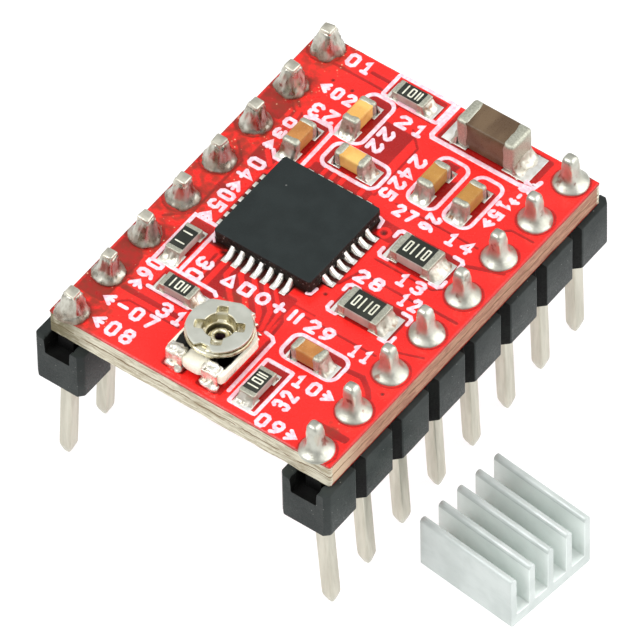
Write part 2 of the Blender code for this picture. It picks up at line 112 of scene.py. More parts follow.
class Paint(Nodes):
    """A procedural material: a Principled shader and the nodes that vary it, placed in millimetres."""

    def __init__(self, name, roughness=0.5, metallic=0.0, gloss=0.5):
        self.material = bpy.data.materials.new(name)
        self.material.use_nodes = True
        super().__init__(self.material.node_tree)
        self.shader = self.tree.nodes["Principled BSDF"].inputs
        self.shader["Roughness"].default_value = roughness
        self.shader["Metallic"].default_value = metallic
        self.shader["Specular IOR Level"].default_value = gloss
        metres = self.node("TexCoord", "Object", {})
        self.place = self.node("VectorMath", 0, {0: metres, "Scale": 1 / MM}, operation="SCALE")
        self.base = None

    def noise(self, scale, detail, stretch=None, rough=0.5, distort=0.0):
        place = self.place
        if stretch:
            place = self.node("VectorMath", 0, {0: place, 1: stretch}, operation="MULTIPLY")
        return self.node("TexNoise", "Fac", {"Vector": place, "Scale": scale, "Detail": detail,
                                             "Roughness": rough, "Distortion": distort})

    def patches(self, scale, detail, low, high, out_low=0.0, out_high=1.0, stretch=None):
        """Noise sharpened into patches."""
        return self.span(self.noise(scale, detail, stretch), low, high, out_low, out_high)

    def dots(self, scale, inner, outer):
        """Soft round spots scattered at random."""
        distance = self.node("TexVoronoi", "Distance", {"Vector": self.place, "Scale": scale})
        return self.span(distance, inner, outer, 1.0, 0.0)

    def fade(self, letter, full, none, most=1.0):
        """Falls from most to nothing between two places along an axis."""
        return self.span(self.node("SeparateXYZ", letter, {0: self.place}), full, none, most, 0.0)

    def attribute(self, name):
        return self.node("Attribute", "Fac", {}, attribute_name=name)

    def times(self, a, b):
        return self.math("MULTIPLY", a, b)

    def mix(self, factor, a, b):
        return self.node("Mix", 2, {0: factor, 6: a, 7: b}, data_type="RGBA")

    def over(self, factor, colour, amount=None):
        """Lay a colour over the base, where the factor says and by that amount."""
        factor = self.times(factor, amount) if amount else factor
        self.base = self.mix(factor, self.base, colour)

    def finish(self, roughness, *reliefs):
        """Connect the base, the roughness and reliefs of height, depth in millimetres and strength."""
        self.put(self.shader["Base Color"], self.base)
        self.put(self.shader["Roughness"], roughness)
        normal = None
        for height, depth, *strength in reliefs:
            inputs = {"Strength": strength[0] if strength else 1.0, "Distance": depth * MM, "Height": height}
            if normal:
                inputs["Normal"] = normal
            normal = self.node("Bump", 0, inputs)
        if normal:
            self.put(self.shader["Normal"], normal)
        return self.material


def solder_mask():
    """Glossy red lacquer, brighter over copper and darker over bare laminate."""
    paint = Paint("red_solder_mask", 0.28, gloss=0.3)
    wobble = paint.times(paint.math("SUBTRACT", paint.noise(7.0, 3.0), 0.5), 0.05)
    edge = paint.math("ADD", paint.attribute("copper"), wobble)
    cloud = paint.patches(0.35, 2.0, 0.35, 0.7)
    bright = paint.mix(cloud, (0.92, 0.018, 0.014), (1.0, 0.024, 0.019))
    dark = paint.mix(cloud, (0.33, 0.009, 0.008), (0.44, 0.014, 0.012))
    paint.base = paint.mix(paint.span(edge, -0.035, 0.035), dark, bright)
    paint.over(paint.span(paint.math("ABSOLUTE", edge), 0.0, 0.06, 1.0, 0.0), (0.5, 0.012, 0.01), 0.35)
    # Near-black over the small holes and over the band of painted shade round the chip
    paint.over(paint.attribute("pit_and_painted_shade"), (0.05, 0.01, 0.007))
    flux = paint.times(paint.attribute("flux"), paint.patches(3.0, 3.0, 0.22, 0.7))
    paint.over(flux, (0.2, 0.03, 0.014), 0.8)
    specks = paint.times(paint.dots(2.3, 0.02, 0.05), paint.patches(1.1, 1.0, 0.58, 0.62))
    paint.over(specks, (0.95, 0.42, 0.34), 0.6)
    spread = paint.times(paint.attribute("flux"), paint.patches(0.9, 1.0, 0.42, 0.56))
    paint.over(paint.times(paint.dots(4.4, 0.1, 0.2), spread), (0.86, 0.52, 0.32), 0.85)
    rough = paint.span(paint.math("ADD", flux, paint.noise(3.0, 3.0)), 0.3, 1.0, 0.2, 0.5)
    return paint.finish(rough, (paint.noise(5.0, 3.0), 0.006, 0.7))


def laminate(name, pale, dark, tint, corner_tint=None):
    """Cut edge of the glass-fibre board: fibrous layers, a ragged crack and a stained near left corner."""
    paint = Paint(name, 0.75, gloss=0.25)
    layers = paint.noise(2.2, 5.0, (0.5, 0.5, 4.2), 0.62, 0.6)
    fibres = paint.noise(9.0, 4.0, (0.55, 0.55, 2.4), 0.7)
    paint.base = paint.mix(paint.span(layers, 0.36, 0.62), dark, pale)
    paint.over(paint.span(fibres, 0.5, 0.72, 0.0, 0.45), tint)
    if corner_tint:
        near = paint.fade("Y", BOARD_LOW.y + 0.3, BOARD_LOW.y + 2.8, 0.75)
        paint.over(paint.times(near, paint.span(fibres, 0.25, 0.5, 0.4, 1.0)), corner_tint)
    height = paint.node("SeparateXYZ", "Z", {0: paint.place})
    ragged = paint.math("ADD", height, paint.times(paint.noise(1.3, 4.0, (1, 1, 0.2)), 0.34))
    from_crack = paint.math("ABSOLUTE", paint.math("SUBTRACT", ragged, BOTTOM + 0.78))
    crack = paint.times(paint.span(from_crack, 0.012, 0.055, 0.92, 0.0), paint.patches(1.1, 2.0, 0.28, 0.42))
    paint.over(crack, (0.17, 0.1, 0.045))
    corner = paint.times(paint.fade("X", BOARD_LOW.x + 0.5, BOARD_LOW.x + 2.4),
                         paint.fade("Y", BOARD_LOW.y + 0.8, BOARD_LOW.y + 3.0))
    paint.over(paint.times(corner, paint.patches(2.9, 4.0, 0.3, 0.5, 0.45, 1.0)), (0.13, 0.11, 0.05), 0.85)
    paint.over(paint.span(ragged, TOP + 0.04, TOP + 0.1), (0.55, 0.07, 0.05), 0.75)
    return paint.finish(paint.span(fibres, 0.3, 0.7, 0.6, 0.85), (layers, 0.05, 0.9), (fibres, 0.02, 0.8))


def print_ink():
    """White legend ink, thin enough for the red beneath to tint it."""
    paint = Paint("legend_ink", 0.42, gloss=0.35)
    paint.base = paint.mix(paint.patches(6.0, 3.0, 0.3, 0.72), (0.95, 0.5, 0.58), (0.95, 0.76, 0.83))
    return paint.finish(paint.patches(11.0, 2.0, 0.3, 0.7, 0.35, 0.55), (paint.noise(14.0, 3.0), 0.006))


def metal(name, colour, dull, rough, grain, depth, metallic=1.0, mottle=2.5, stretch=None, stain=None,
          dents=None):
    """Plated or soldered metal: mottled between two tones, with a grain of the given scale."""
    paint = Paint(name, rough[0], metallic)
    paint.base = paint.mix(paint.patches(mottle, 4.0, 0.35, 0.65, stretch=stretch), dull, colour)
    grit = paint.noise(grain, 4.0, stretch, 0.6)
    if stain:
        brown, low, high = stain
        paint.over(paint.patches(1.9, 4.0, low, high), brown)
    reliefs = [(grit, depth)]
    if dents:
        reliefs.append((paint.noise(dents, 2.0), depth * 2.5))
    return paint.finish(paint.span(grit, 0.3, 0.7, *rough), *reliefs)


def ceramic(name, colour, deep, rough=(0.35, 0.55), speck=(0.9, 0.8, 0.65), streak=None):
    """Fired body: fine speckle over a slow change of tone."""
    paint = Paint(name, rough[0], gloss=0.28)
    paint.base = paint.mix(paint.patches(1.4, 3.0, 0.34, 0.66, stretch=streak), deep, colour)
    fine = paint.noise(16.0, 3.0)
    paint.over(paint.span(fine, 0.56, 0.75, 0.0, 0.14), speck)
    return paint.finish(paint.span(fine, 0.3, 0.7, *rough), (fine, 0.006))


def moulded(name, colour, worn, rough, grain, depth, flecks, gloss=0.17, dusty=0.56, fleck=0.07):
    """Moulded plastic: fine grain, faint wear and pale flecks of dust."""
    paint = Paint(name, rough[0], gloss=gloss)
    paint.base = paint.mix(paint.patches(0.9, 3.0, 0.35, 0.7), colour, worn)
    dust = paint.times(paint.dots(flecks, fleck * 0.4, fleck), paint.patches(0.8, 2.0, dusty, dusty + 0.06))
    paint.over(dust, (0.4, 0.4, 0.38), 0.5)
    grit = paint.noise(grain, 3.0)
    return paint.finish(paint.span(grit, 0.3, 0.7, *rough), (grit, depth))


def anodised(name, dull, pale):
    """Clear-anodised extrusion: satin, drawn along its length, with a few specks."""
    paint = Paint(name, 0.42, 0.25)
    drawn = paint.noise(9.0, 4.0, (0.12, 1.6, 1.6))
    paint.base = paint.mix(paint.patches(0.7, 3.0, 0.35, 0.65), dull, pale)
    paint.over(paint.dots(3.1, 0.03, 0.06), (0.35, 0.37, 0.36), 0.35)
    rough = paint.span(drawn, 0.3, 0.7, 0.34, 0.52)
    return paint.finish(rough, (drawn, 0.002), (paint.noise(22.0, 2.0), 0.004))


def glazed():
    """Glossy off-white ceramic of the trimmer, stained with flux near the board."""
    paint = Paint("glazed_ceramic", 0.22)
    paint.base = paint.mix(paint.patches(1.2, 3.0, 0.3, 0.7), (0.84, 0.8, 0.66), (0.94, 0.9, 0.76))
    stain = paint.times(paint.fade("Z", TOP + 0.2, TOP + 0.75), paint.patches(2.4, 4.0, 0.45, 0.7))
    paint.over(stain, (0.45, 0.3, 0.22), 0.6)
    return paint.finish(paint.patches(7.0, 3.0, 0.3, 0.7, 0.16, 0.34), (paint.noise(4.0, 3.0), 0.02))


def fluxed_solder():
    """Hand-soldered joint: grainy metal with brown flux gathered low down and in its hollows."""
    paint = Paint("fluxed_solder", 0.4, 1.0)
    grit = paint.noise(3.2, 3.0, (1, 1, 0.4))
    paint.base = paint.mix(paint.span(grit, 0.34, 0.64), (0.33, 0.31, 0.26), (0.58, 0.57, 0.5))
    low = paint.times(paint.fade("Z", TOP + 0.02, TOP + 0.8), paint.patches(1.7, 3.0, 0.46, 0.62))
    rim = paint.times(paint.fade("Z", TOP + 0.05, TOP + 0.22), paint.patches(1.1, 2.0, 0.3, 0.5))
    brown = paint.math("MAXIMUM", low, rim)
    paint.over(brown, (0.16, 0.09, 0.05), 0.7)
    paint.put(paint.shader["Metallic"], paint.span(brown, 0.3, 0.9, 1.0, 0.5))
    return paint.finish(paint.span(grit, 0.3, 0.7, 0.22, 0.42), (grit, 0.012))


MASK = solder_mask()
EDGE_NEAR = laminate("laminate_near", (0.72, 0.68, 0.54), (0.4, 0.34, 0.23), (0.85, 0.82, 0.72))
EDGE_SIDE = laminate("laminate_side", (0.45, 0.25, 0.165), (0.28, 0.125, 0.085), (0.58, 0.36, 0.265),
                     (0.66, 0.52, 0.36))
INK = print_ink()
BRIGHT_SOLDER = metal("bright_solder", (0.56, 0.565, 0.5), (0.43, 0.43, 0.37), (0.34, 0.5), 13.0, 0.008,
                      mottle=1.6, dents=1.4, stain=((0.26, 0.15, 0.12), 0.6, 0.72))
FLUXED_SOLDER = fluxed_solder()
LEAD_SOLDER = metal("lead_solder", (0.9, 0.9, 0.87), (0.74, 0.72, 0.66), (0.3, 0.45), 4.0, 0.006, mottle=3.0)
LAND_SOLDER = metal("land_solder", (0.62, 0.61, 0.54), (0.44, 0.41, 0.34), (0.3, 0.48), 5.0, 0.012,
                    mottle=3.0, stain=((0.29, 0.18, 0.12), 0.56, 0.7), dents=3.0)
PIN_TIN = metal("pin_tin_plate", (0.63, 0.61, 0.52), (0.53, 0.51, 0.43), (0.34, 0.5), 9.0, 0.003,
                stretch=(1.6, 1.6, 0.16))
END_TIN = metal("end_tin_plate", (0.5, 0.505, 0.42), (0.37, 0.37, 0.3), (0.38, 0.56), 22.0, 0.012,
                metallic=0.8, mottle=14.0)
STRIP_PLASTIC = moulded("header_plastic", (0.018, 0.023, 0.022), (0.03, 0.036, 0.034), (0.36, 0.52),
                        14.0, 0.008, 3.4, dusty=0.44, fleck=0.11)
# Near-black copy of the header plastic: painted shade in the notches, the trough and on the pins' sleeves
STRIP_PAINTED_SHADE = moulded("header_hollow_painted_shade", (0.004, 0.004, 0.004), (0.008, 0.009, 0.008), (0.5, 0.7),
                       14.0, 0.01, 3.0, gloss=0.1)
MOULD = moulded("epoxy_mould", (0.015, 0.02, 0.02), (0.019, 0.025, 0.025), (0.5, 0.66), 30.0, 0.006, 1.3)
MOULD_SIDE = moulded("sawn_mould", (0.008, 0.008, 0.007), (0.024, 0.022, 0.017), (0.5, 0.8), 8.0, 0.05, 5.0,
                     dusty=0.36, fleck=0.24)
PALE_CERAMIC = ceramic("pale_ceramic", (0.78, 0.47, 0.13), (0.66, 0.36, 0.09))
AMBER_CERAMIC = ceramic("amber_ceramic", (0.46, 0.24, 0.055), (0.38, 0.18, 0.04))
TAN_CERAMIC = ceramic("tan_ceramic", (0.48, 0.21, 0.058), (0.38, 0.15, 0.036))
BROWN_CERAMIC = ceramic("brown_ceramic", (0.14, 0.092, 0.052), (0.092, 0.055, 0.03), (0.26, 0.42),
                        (0.24, 0.18, 0.12), (1, 0.3, 1))
ALUMINA = ceramic("alumina", (0.46, 0.38, 0.34), (0.37, 0.29, 0.26), (0.4, 0.6))
COAT = moulded("resistor_coat", (0.02, 0.023, 0.019), (0.035, 0.037, 0.03), (0.28, 0.45), 12.0, 0.01, 4.0)
MARK = ceramic("resistor_mark", (0.74, 0.74, 0.62), (0.6, 0.6, 0.48))
GLAZED = glazed()
CARBON = moulded("carbon_track", (0.008, 0.008, 0.007), (0.02, 0.019, 0.016), (0.2, 0.42), 10.0, 0.012, 6.0)
PLATE_STEEL = metal("rotor_plate", (0.64, 0.65, 0.58), (0.56, 0.57, 0.5), (0.34, 0.46), 12.0, 0.006,
                    metallic=0.85, mottle=1.2)
DRAWN_STEEL = metal("drawn_steel", (0.76, 0.73, 0.57), (0.42, 0.37, 0.24), (0.24, 0.4), 4.0, 0.008,
                    mottle=2.0, stretch=(1, 1, 0.6))
LEAF_TIN = metal("terminal_tin", (0.88, 0.87, 0.8), (0.64, 0.6, 0.51), (0.24, 0.42), 4.0, 0.016,
                 metallic=0.88, mottle=3.0, dents=2.4, stain=((0.34, 0.2, 0.15), 0.58, 0.72))
# Dark purple for the eyelet's bore: painted shade inside the tube
BORE_PAINTED_SHADE = moulded("eyelet_bore_painted_shade", (0.03, 0.014, 0.024), (0.05, 0.024, 0.03), (0.4, 0.6), 9.0, 0.01, 5.0)
ALUMINIUM = anodised("anodised_aluminium", (0.53, 0.58, 0.56), (0.61, 0.66, 0.64))
# Paler copy of the anodised aluminium: painted light on the fins' inner walls and the channel floors
CHANNEL_PAINTED_LIGHT = anodised("anodised_channels_painted_light", (0.74, 0.79, 0.765), (0.81, 0.86, 0.835))
COPPER = metal("bare_copper", (0.82, 0.42, 0.27), (0.6, 0.26, 0.15), (0.25, 0.42), 8.0, 0.01)
SILICON = metal("silicon", (0.2, 0.2, 0.23), (0.13, 0.13, 0.15), (0.12, 0.25), 6.0, 0.004)

# ------------------------------------------------------------------------------------- shapes


def add_object(name, thing):
    added = bpy.data.objects.new(name, thing)
    bpy.context.scene.collection.objects.link(added)
    return added


class Shape:
    """Points in millimetres and faces, gathered from many parts before they become one piece."""

    def __init__(self):
        self.points = []
        self.faces = []
        self.kinds = []

    def add(self, part, kind=0, matrix=Matrix()):
        """Take in a (points, faces) part; kind is the index of its material, or a list for its faces."""
        points, faces = part
        start = len(self.points)
        self.points += [matrix @ Vector(p) for p in points]
        self.faces += [[start + i for i in face] for face in faces]
        self.kinds += kind if isinstance(kind, list) else [kind] * len(faces)

    def piece(self, name, materials, replaces=None, body="module", crisp=False, angle=50):
        """Make one mesh object, shaded smooth up to the angle, and say what it belongs to."""
        mesh = bpy.data.meshes.new(name)
        mesh.from_pydata([p * MM for p in self.points], [], self.faces)
        for material in materials:
            mesh.materials.append(material)
        mesh.polygons.foreach_set("material_index", self.kinds)
        mesh.shade_smooth()
        mesh.set_sharp_from_angle(angle=math.radians(angle))
        thing = add_object(name, mesh)
        if crisp:
            thing.modifiers.new("flat faces", "WEIGHTED_NORMAL").keep_sharp = True
        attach(thing, body)
        if replaces:
            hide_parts(replaces)


def loft(rings, loop=True, caps=(True, True), joined=False):
    """Skin through rings of equal count; joined also links the last ring to the first."""
    count = len(rings[0])
    points = [p for ring in rings for p in ring]
    faces = []
    for low in range(0, len(points) - (0 if joined else count), count):
        high = (low + count) % len(points)
        for i in range(count if loop else count - 1):
            j = (i + 1) % count
            faces.append((low + i, low + j, high + j, high + i))
    if caps[0]:
        faces.append(tuple(reversed(range(count))))
    if caps[1]:
        faces.append(tuple(range(len(points) - count, len(points))))
    return points, faces


def circle(count):
    """Cosine and sine at even steps of a full turn."""
    return [(math.cos(math.tau * i / count), math.sin(math.tau * i / count)) for i in range(count)]


def lathe(profile, segments):
    """Turned shape from (radius, height) points."""
    return loft([[(r * c, r * s, z) for c, s in circle(segments)] for r, z in profile])


def block(size, centre, radius, steps=3, cuts=0):
    """Box with rounded edges, its faces cut up when it is to be dented later."""
    shape = bmesh.new()
    bmesh.ops.create_cube(shape, size=1.0, matrix=Matrix.Translation(centre) @ Matrix.Diagonal((*size, 1.0)))
    bmesh.ops.bevel(shape, geom=shape.edges[:], offset=radius, segments=steps, profile=0.5,
                    affect="EDGES", clamp_overlap=True)
    if cuts:
        long = [e for e in shape.edges if e.calc_length() > 2.5 * radius]
        bmesh.ops.subdivide_edges(shape, edges=long, cuts=cuts, use_grid_fill=True)
    # Sorted, because the order in which Blender makes the cut faces changes from run to run
    part = ([v.co.copy() for v in shape.verts], sorted([v.index for v in f.verts] for f in shape.faces))
    shape.free()
    return part


def pebble(radii, centre, square=0.7, rows=14, columns=24):
    """Rounded lump; a lower square makes it boxier."""
    def power(value):
        return math.copysign(abs(value) ** square, value)
    rings = []
    for row in range(rows + 1):
        up = -math.pi / 2 + math.pi * (0.02 + 0.96 * row / rows)
        flat, rise = power(math.cos(up)), power(math.sin(up))
        rings.append([(centre[0] + radii[0] * flat * power(c), centre[1] + radii[1] * flat * power(s),
                       centre[2] + radii[2] * rise) for c, s in circle(columns)])
    return loft(rings)


def roughen(part, amount, size, seed):
    """Dent a part with smooth noise; size is the width of the dents."""
    shift = Vector((seed * 7.31, seed * 3.17, seed * 5.73))
    points, faces = part
    return [Vector(p) + amount * noise.noise_vector(Vector(p) / size + shift) for p in points], faces


def rounded_box(x0, y0, x1, y1, radius, steps=6):
    """Flat outline of a rectangle with round corners, counter-clockwise."""
    outline = []
    for quarter, (x, y) in enumerate(((x1 - radius, y1 - radius), (x0 + radius, y1 - radius),
                                      (x0 + radius, y0 + radius), (x1 - radius, y0 + radius))):
        for i in range(steps + 1):
            a = (quarter + i / steps) * math.pi / 2
            outline.append((x + radius * math.cos(a), y + radius * math.sin(a)))
    return outline


def divided(outline, step):
    """Closed outline with more points, about a step apart."""
    dense = []
    for start, end in zip(outline, outline[1:] + outline[:1]):
        steps = max(1, round(math.dist(start, end) / step))
        dense += [(start[0] + (end[0] - start[0]) * k / steps, start[1] + (end[1] - start[1]) * k / steps)
                  for k in range(steps)]
    return dense


def ribbon(path, width, height, base, closed=False):
    """Raised printed line along a flat path, with round ends."""
    points = [Vector(p) for p in path]
    half = width / 2
    last = len(points) - 1
    rows = []
    for i, here in enumerate(points):
        into = (here - points[i - 1]).normalized() if i or closed else None
        out = (points[(i + 1) % (last + 1)] - here).normalized() if i < last or closed else None
        bend = into + out if into and out else None
        way = bend.normalized() if bend and bend.length > 0.1 else (out or into)
        stretch = min(1 / max(way.dot(out), 0.3), 1.5) if bend else 1.0
        side = Vector((-way.y, way.x))
        cap = [(way * half * math.sin(math.radians(a)), half * math.cos(math.radians(a)))
               for a in (30, 60, 85)]
        if i == 0 and not closed:
            rows += [(here - ahead, side, reach) for ahead, reach in reversed(cap)]
        rows.append((here, side, half * stretch))
        if i == last and not closed:
            rows += [(here + ahead, side, reach) for ahead, reach in cap]
    if closed:
        rows.append(rows[0])
    section = ((1.0, -0.04), (0.96, 0.45 * height), (0.7, height), (-0.7, height), (-0.96, 0.45 * height),
               (-1.0, -0.04))
    rings = [[(p.x + side.x * reach * s, p.y + side.y * reach * s, base + z) for s, z in section]
             for p, side, reach in rows]
    return loft(rings, False, (False, False))


def fillet(foot, outward, climb, reach, width, seed, lobes, steps, columns):
    """Solder that climbs a wall: foot is the middle of the wall's base, outward its direction."""
    side = Vector((-outward.y, outward.x))
    inside = 0.03               # how far the solder starts within the wall, and its edge below the board
    rings = []
    for row in range(steps + 1):
        u = row / steps
        ring = []
        for column in range(columns):
            v = -1 + 2 * column / (columns - 1)
            wave = noise.noise(Vector((v * 2.6 + seed * 1.7, seed * 0.9, u * 1.5)))
            far = reach * (1 - 0.35 * abs(v) ** 3) * (1 + lobes * wave)
            tall = climb * (1 - 0.45 * abs(v) ** 6) * (1 + 0.25 * lobes * wave)
            height = tall * (1 - u) ** 2.1 + 0.03 * (1 - u ** 4)
            if abs(v) > 0.999 or row == steps:
                height = -inside
            spot = foot + outward * (far * u - inside) + side * (width / 2 * v * (1 + 0.12 * u))
            ring.append((spot.x, spot.y, TOP + height))
        rings.append(ring)
    return loft(rings, False, (False, False))


def turn_about(x, y, angle):
    return Matrix.Translation((x, y, 0)) @ Matrix.Rotation(angle, 4, "Z")


# -------------------------------------------------------------------------------------- board

COPPER_DEPTH = 0.035            # how far the lacquer sinks where there is no copper
GRID_STEP = 0.075
BOARD_CORNER = 0.12

# Boxes without copper, lines without copper, then lines of copper over both; a line's width comes first
DARK_BOXES = (
    (-3.3, 5.35, -2.1, 7.95), (-4.7, 2.85, -3.55, 5.4), (-2.8, 3.7, -0.15, 5.0), (1.3, 4.3, 2.5, 6.85),
    (3.1, 4.3, 4.25, 6.5), (1.95, -5.65, 4.65, -4.4), (-2.8, 8.3, -0.3, 9.35), (-5.25, -4.5, -4.2, -1.8),
    (-4.5, -5.85, -2.0, -4.7), (1.9, -8.8, 3.0, -6.25), (2.2, 0.95, 5.35, 2.75), (2.2, -2.6, 5.3, -0.85),
    (0.3, 7.6, 5.2, 9.35), (-1.95, 5.1, -0.4, 7.1), (-3.0, 2.6, 0.0, 3.62), (-3.1, -4.65, 0.95, -2.9),
    (-7.0, -7.75, -5.6, -4.35), (-5.5, -6.7, -2.3, -6.42), (-7.0, 4.5, -5.6, 5.7), (-5.4, 2.0, -4.3, 3.1),
    (-1.7, -8.95, -0.55, -8.4), (0.1, -9.0, 1.2, -8.4), (-5.6, -0.1, -4.9, 0.4), (1.2, 1.75, 2.2, 2.7),
    (-0.4, -5.2, 0.95, -4.6), (5.3, -8.0, 7.1, -7.62), (-4.3, -2.6, -3.2, -1.9),
)
DARK_LINES = (
    (0.14, (-5.7, 8.38), (-3.0, 8.38)), (0.2, (-3.95, 8.9), (-3.0, 8.9)), (0.13, (1.1, 3.68), (5.3, 3.68)),
    (0.14, (1.6, -3.47), (5.3, -3.47)), (0.16, (1.28, -5.4), (1.28, -8.85)),
    (0.1, (-5.5, -6.03), (-2.3, -6.03)),
    (0.26, (4.7, -4.8), (5.55, -4.7), (6.1, -5.1), (6.4, -5.45)), (0.1, (0.95, -3.2), (2.0, -3.2)),
    (0.12, (-5.3, -7.5), (-4.75, -7.02), (-2.2, -7.02)), (0.12, (0.1, 3.5), (0.08, 6.6), (-0.7, 7.35)),
    (0.16, (0.25, -3.3), (1.1, -4.25), (1.15, -5.1)), (0.12, (-6.2, 6.0), (-5.35, 5.3), (-5.3, 4.6)),
    (0.12, (-5.65, 5.9), (-4.98, 5.3), (-4.95, 4.9)), (0.13, (5.35, -3.0), (7.0, -2.4)),
    (0.12, (-6.4, -2.5), (-5.5, -1.7), (-5.5, 1.8), (-6.3, 2.6)), (0.2, (5.4, 2.6), (7.0, 3.2)),
    (0.14, (1.75, -1.2), (2.1, -0.2), (5.0, -0.2)), (0.12, (2.2, 0.75), (5.1, 0.75), (5.6, 1.2)),
    (0.13, (5.5, 5.0), (5.9, 5.3), (7.0, 5.3)), (0.14, (-3.3, -2.9), (-3.3, -4.55)),
    (0.12, (-2.0, 7.15), (-2.0, 8.1), (-0.3, 8.1)), (0.16, (5.6, -0.1), (7.0, -0.1)),
)
BRIGHT_LINES = (
    (0.2, (-2.35, 2.5), (-2.35, 3.7)), (0.2, (-1.9, 2.5), (-1.9, 3.7)), (0.24, (-1.45, 2.5), (-1.45, 3.7)),
    (0.22, (-0.45, 2.5), (-0.45, 3.7)), (0.26, (-2.78, -2.8), (-2.78, -4.8)), (0.4, (2.3, 6.2), (2.3, 6.7)),
    (0.24, (-2.33, -2.8), (-2.33, -3.55), (-1.3, -4.6)), (0.24, (-1.83, -2.8), (-1.83, -3.2), (-0.6, -4.5)),
    (0.24, (-1.33, -2.8), (-1.3, -3.0), (0.0, -4.4), (0.3, -5.0)), (0.2, (-5.2, 5.5), (-5.13, 4.6)),
    (0.22, (-0.83, -2.8), (-0.5, -3.2), (0.35, -4.1), (0.62, -5.1)), (0.22, (-5.0, 2.9), (-4.4, 2.3)),
    (0.16, (-0.33, -2.8), (-0.1, -3.1), (0.72, -3.95), (0.85, -5.2)), (0.24, (-5.6, -6.2), (-6.4, -6.3)),
    (0.3, (-6.35, -3.9), (-5.55, -4.75), (-5.5, -5.1)), (0.2, (-5.5, -7.6), (-4.9, -6.86), (-2.2, -6.86)),
)
VIAS = ((1.65, 2.1, 0.1), (1.65, -2.0, 0.1))
PITS = (*VIAS, (-5.05, 7.6, 0.1), (-4.05, 7.6, 0.1), (-3.15, -2.65, 0.14), (6.75, -4.95, 0.1))
CHIP_BOX = (-3.83, -2.42, 1.17, 2.58)
FLUX_SPOTS = ((-6.3, 3.1, 0.75), (-5.9, 2.5, 0.6), (-6.3, 0.4, 0.7), (-5.6, -8.4, 0.7), (-5.9, -9.2, 0.7),
              (-6.0, -0.9, 0.5), (-6.2, 5.0, 0.5), (-6.1, 9.3, 0.6), (6.1, -7.7, 0.35), (-1.2, -4.4, 0.4),
              *((-ROW_X, pin_y(n), 1.3 if n in (1, 4, 5, 6) else 1.12) for n in ROWS))


def from_line(x, y, points):
    """Distance from a line of straight stretches."""
    nearest = np.full_like(x, 1e3)
    for (ax, ay), (bx, by) in zip(points, points[1:]):
        along = ((x - ax) * (bx - ax) + (y - ay) * (by - ay)) / ((bx - ax) ** 2 + (by - ay) ** 2)
        along = np.clip(along, 0, 1)
        nearest = np.minimum(nearest, np.hypot(x - ax - along * (bx - ax), y - ay - along * (by - ay)))
    return nearest


def from_box(x, y, box, corner=0.12):
    """Distance outside a rounded box, negative within it."""
    dx = np.abs(x - (box[0] + box[2]) / 2) - (box[2] - box[0]) / 2 + corner
    dy = np.abs(y - (box[1] + box[3]) / 2) - (box[3] - box[1]) / 2 + corner
    return np.hypot(np.maximum(dx, 0), np.maximum(dy, 0)) + np.minimum(np.maximum(dx, dy), 0) - corner


def from_rim(x, y):
    """Distance in from the board's outline."""
    return np.minimum(np.minimum(x - BOARD_LOW.x, BOARD_HIGH.x - x),
                      np.minimum(y - BOARD_LOW.y, BOARD_HIGH.y - y))


def component_side_copper(x, y):
    """Signed distance into copper, in millimetres."""
    copper = np.minimum(from_rim(x, y) - 0.05, 2.0)
    for box in DARK_BOXES:
        copper = np.minimum(copper, from_box(x, y, box))
    for width, *points in DARK_LINES:
        copper = np.minimum(copper, from_line(x, y, points) - width / 2)
    for width, *points in BRIGHT_LINES:
        copper = np.maximum(copper, width / 2 - from_line(x, y, points))
    for row_x, pad in ((-ROW_X, 0.8), (ROW_X, 0.82)):
        for number in ROWS:
            copper = np.minimum(copper, np.abs(np.hypot(x - row_x, y - pin_y(number)) - pad) - 0.05)
    for px, py, _ in VIAS:
        ring = np.abs(np.hypot(x - px, y - py) - 0.24) - 0.08
        copper = np.minimum(np.maximum(copper, -ring), 0.12)
    return copper


def solder_side_copper(x, y):
    """Plain ground area crossed by a few long tracks."""
    copper = from_rim(x, y) - 0.25
    for lane, low, high in ((-3.2, -7.6, 4.2), (-1.9, -5.0, 6.4), (-0.6, -7.0, 1.8), (0.9, -2.2, 7.3),
                            (2.2, -6.3, 3.4), (3.5, -8.2, 0.6)):
        route = ((lane - 0.9, low - 0.9), (lane, low), (lane, high), (lane + 0.8, high + 0.8))
        away = from_line(x, y, route)
        copper = np.maximum(np.minimum(copper, away - 0.28), 0.13 - away)
    return copper


def pits_painted_shade_and_flux(x, y):
    """Dark holes with the painted shade round the chip (with some dark flux there), and spilt flux, each from
    0 to 1.
    """
    beside = from_box(x, y, CHIP_BOX, 0.0)
    across = np.abs(x - (CHIP_BOX[0] + CHIP_BOX[2]) / 2)
    along = np.abs(y - (CHIP_BOX[1] + CHIP_BOX[3]) / 2)
    # A band round the chip, wider along its leads, painted near-black: painted shade beside and between the
    # lead fillets
    shade_width = np.where(np.minimum(across, along) < 1.72, 0.6, 0.16)
    pit_and_painted_shade = np.clip((shade_width - beside) / 0.14, 0, 1)
    flux = np.zeros_like(x)
    for px, py, radius in PITS:
        pit_and_painted_shade = np.maximum(pit_and_painted_shade, np.clip(1.4 - np.hypot(x - px, y - py) / radius, 0, 1))
    for px, py, radius in FLUX_SPOTS:
        flux = np.maximum(flux, np.clip(2.2 - 1.35 * np.hypot(x - px, y - py) / radius, 0, 1))
    return pit_and_painted_shade, flux


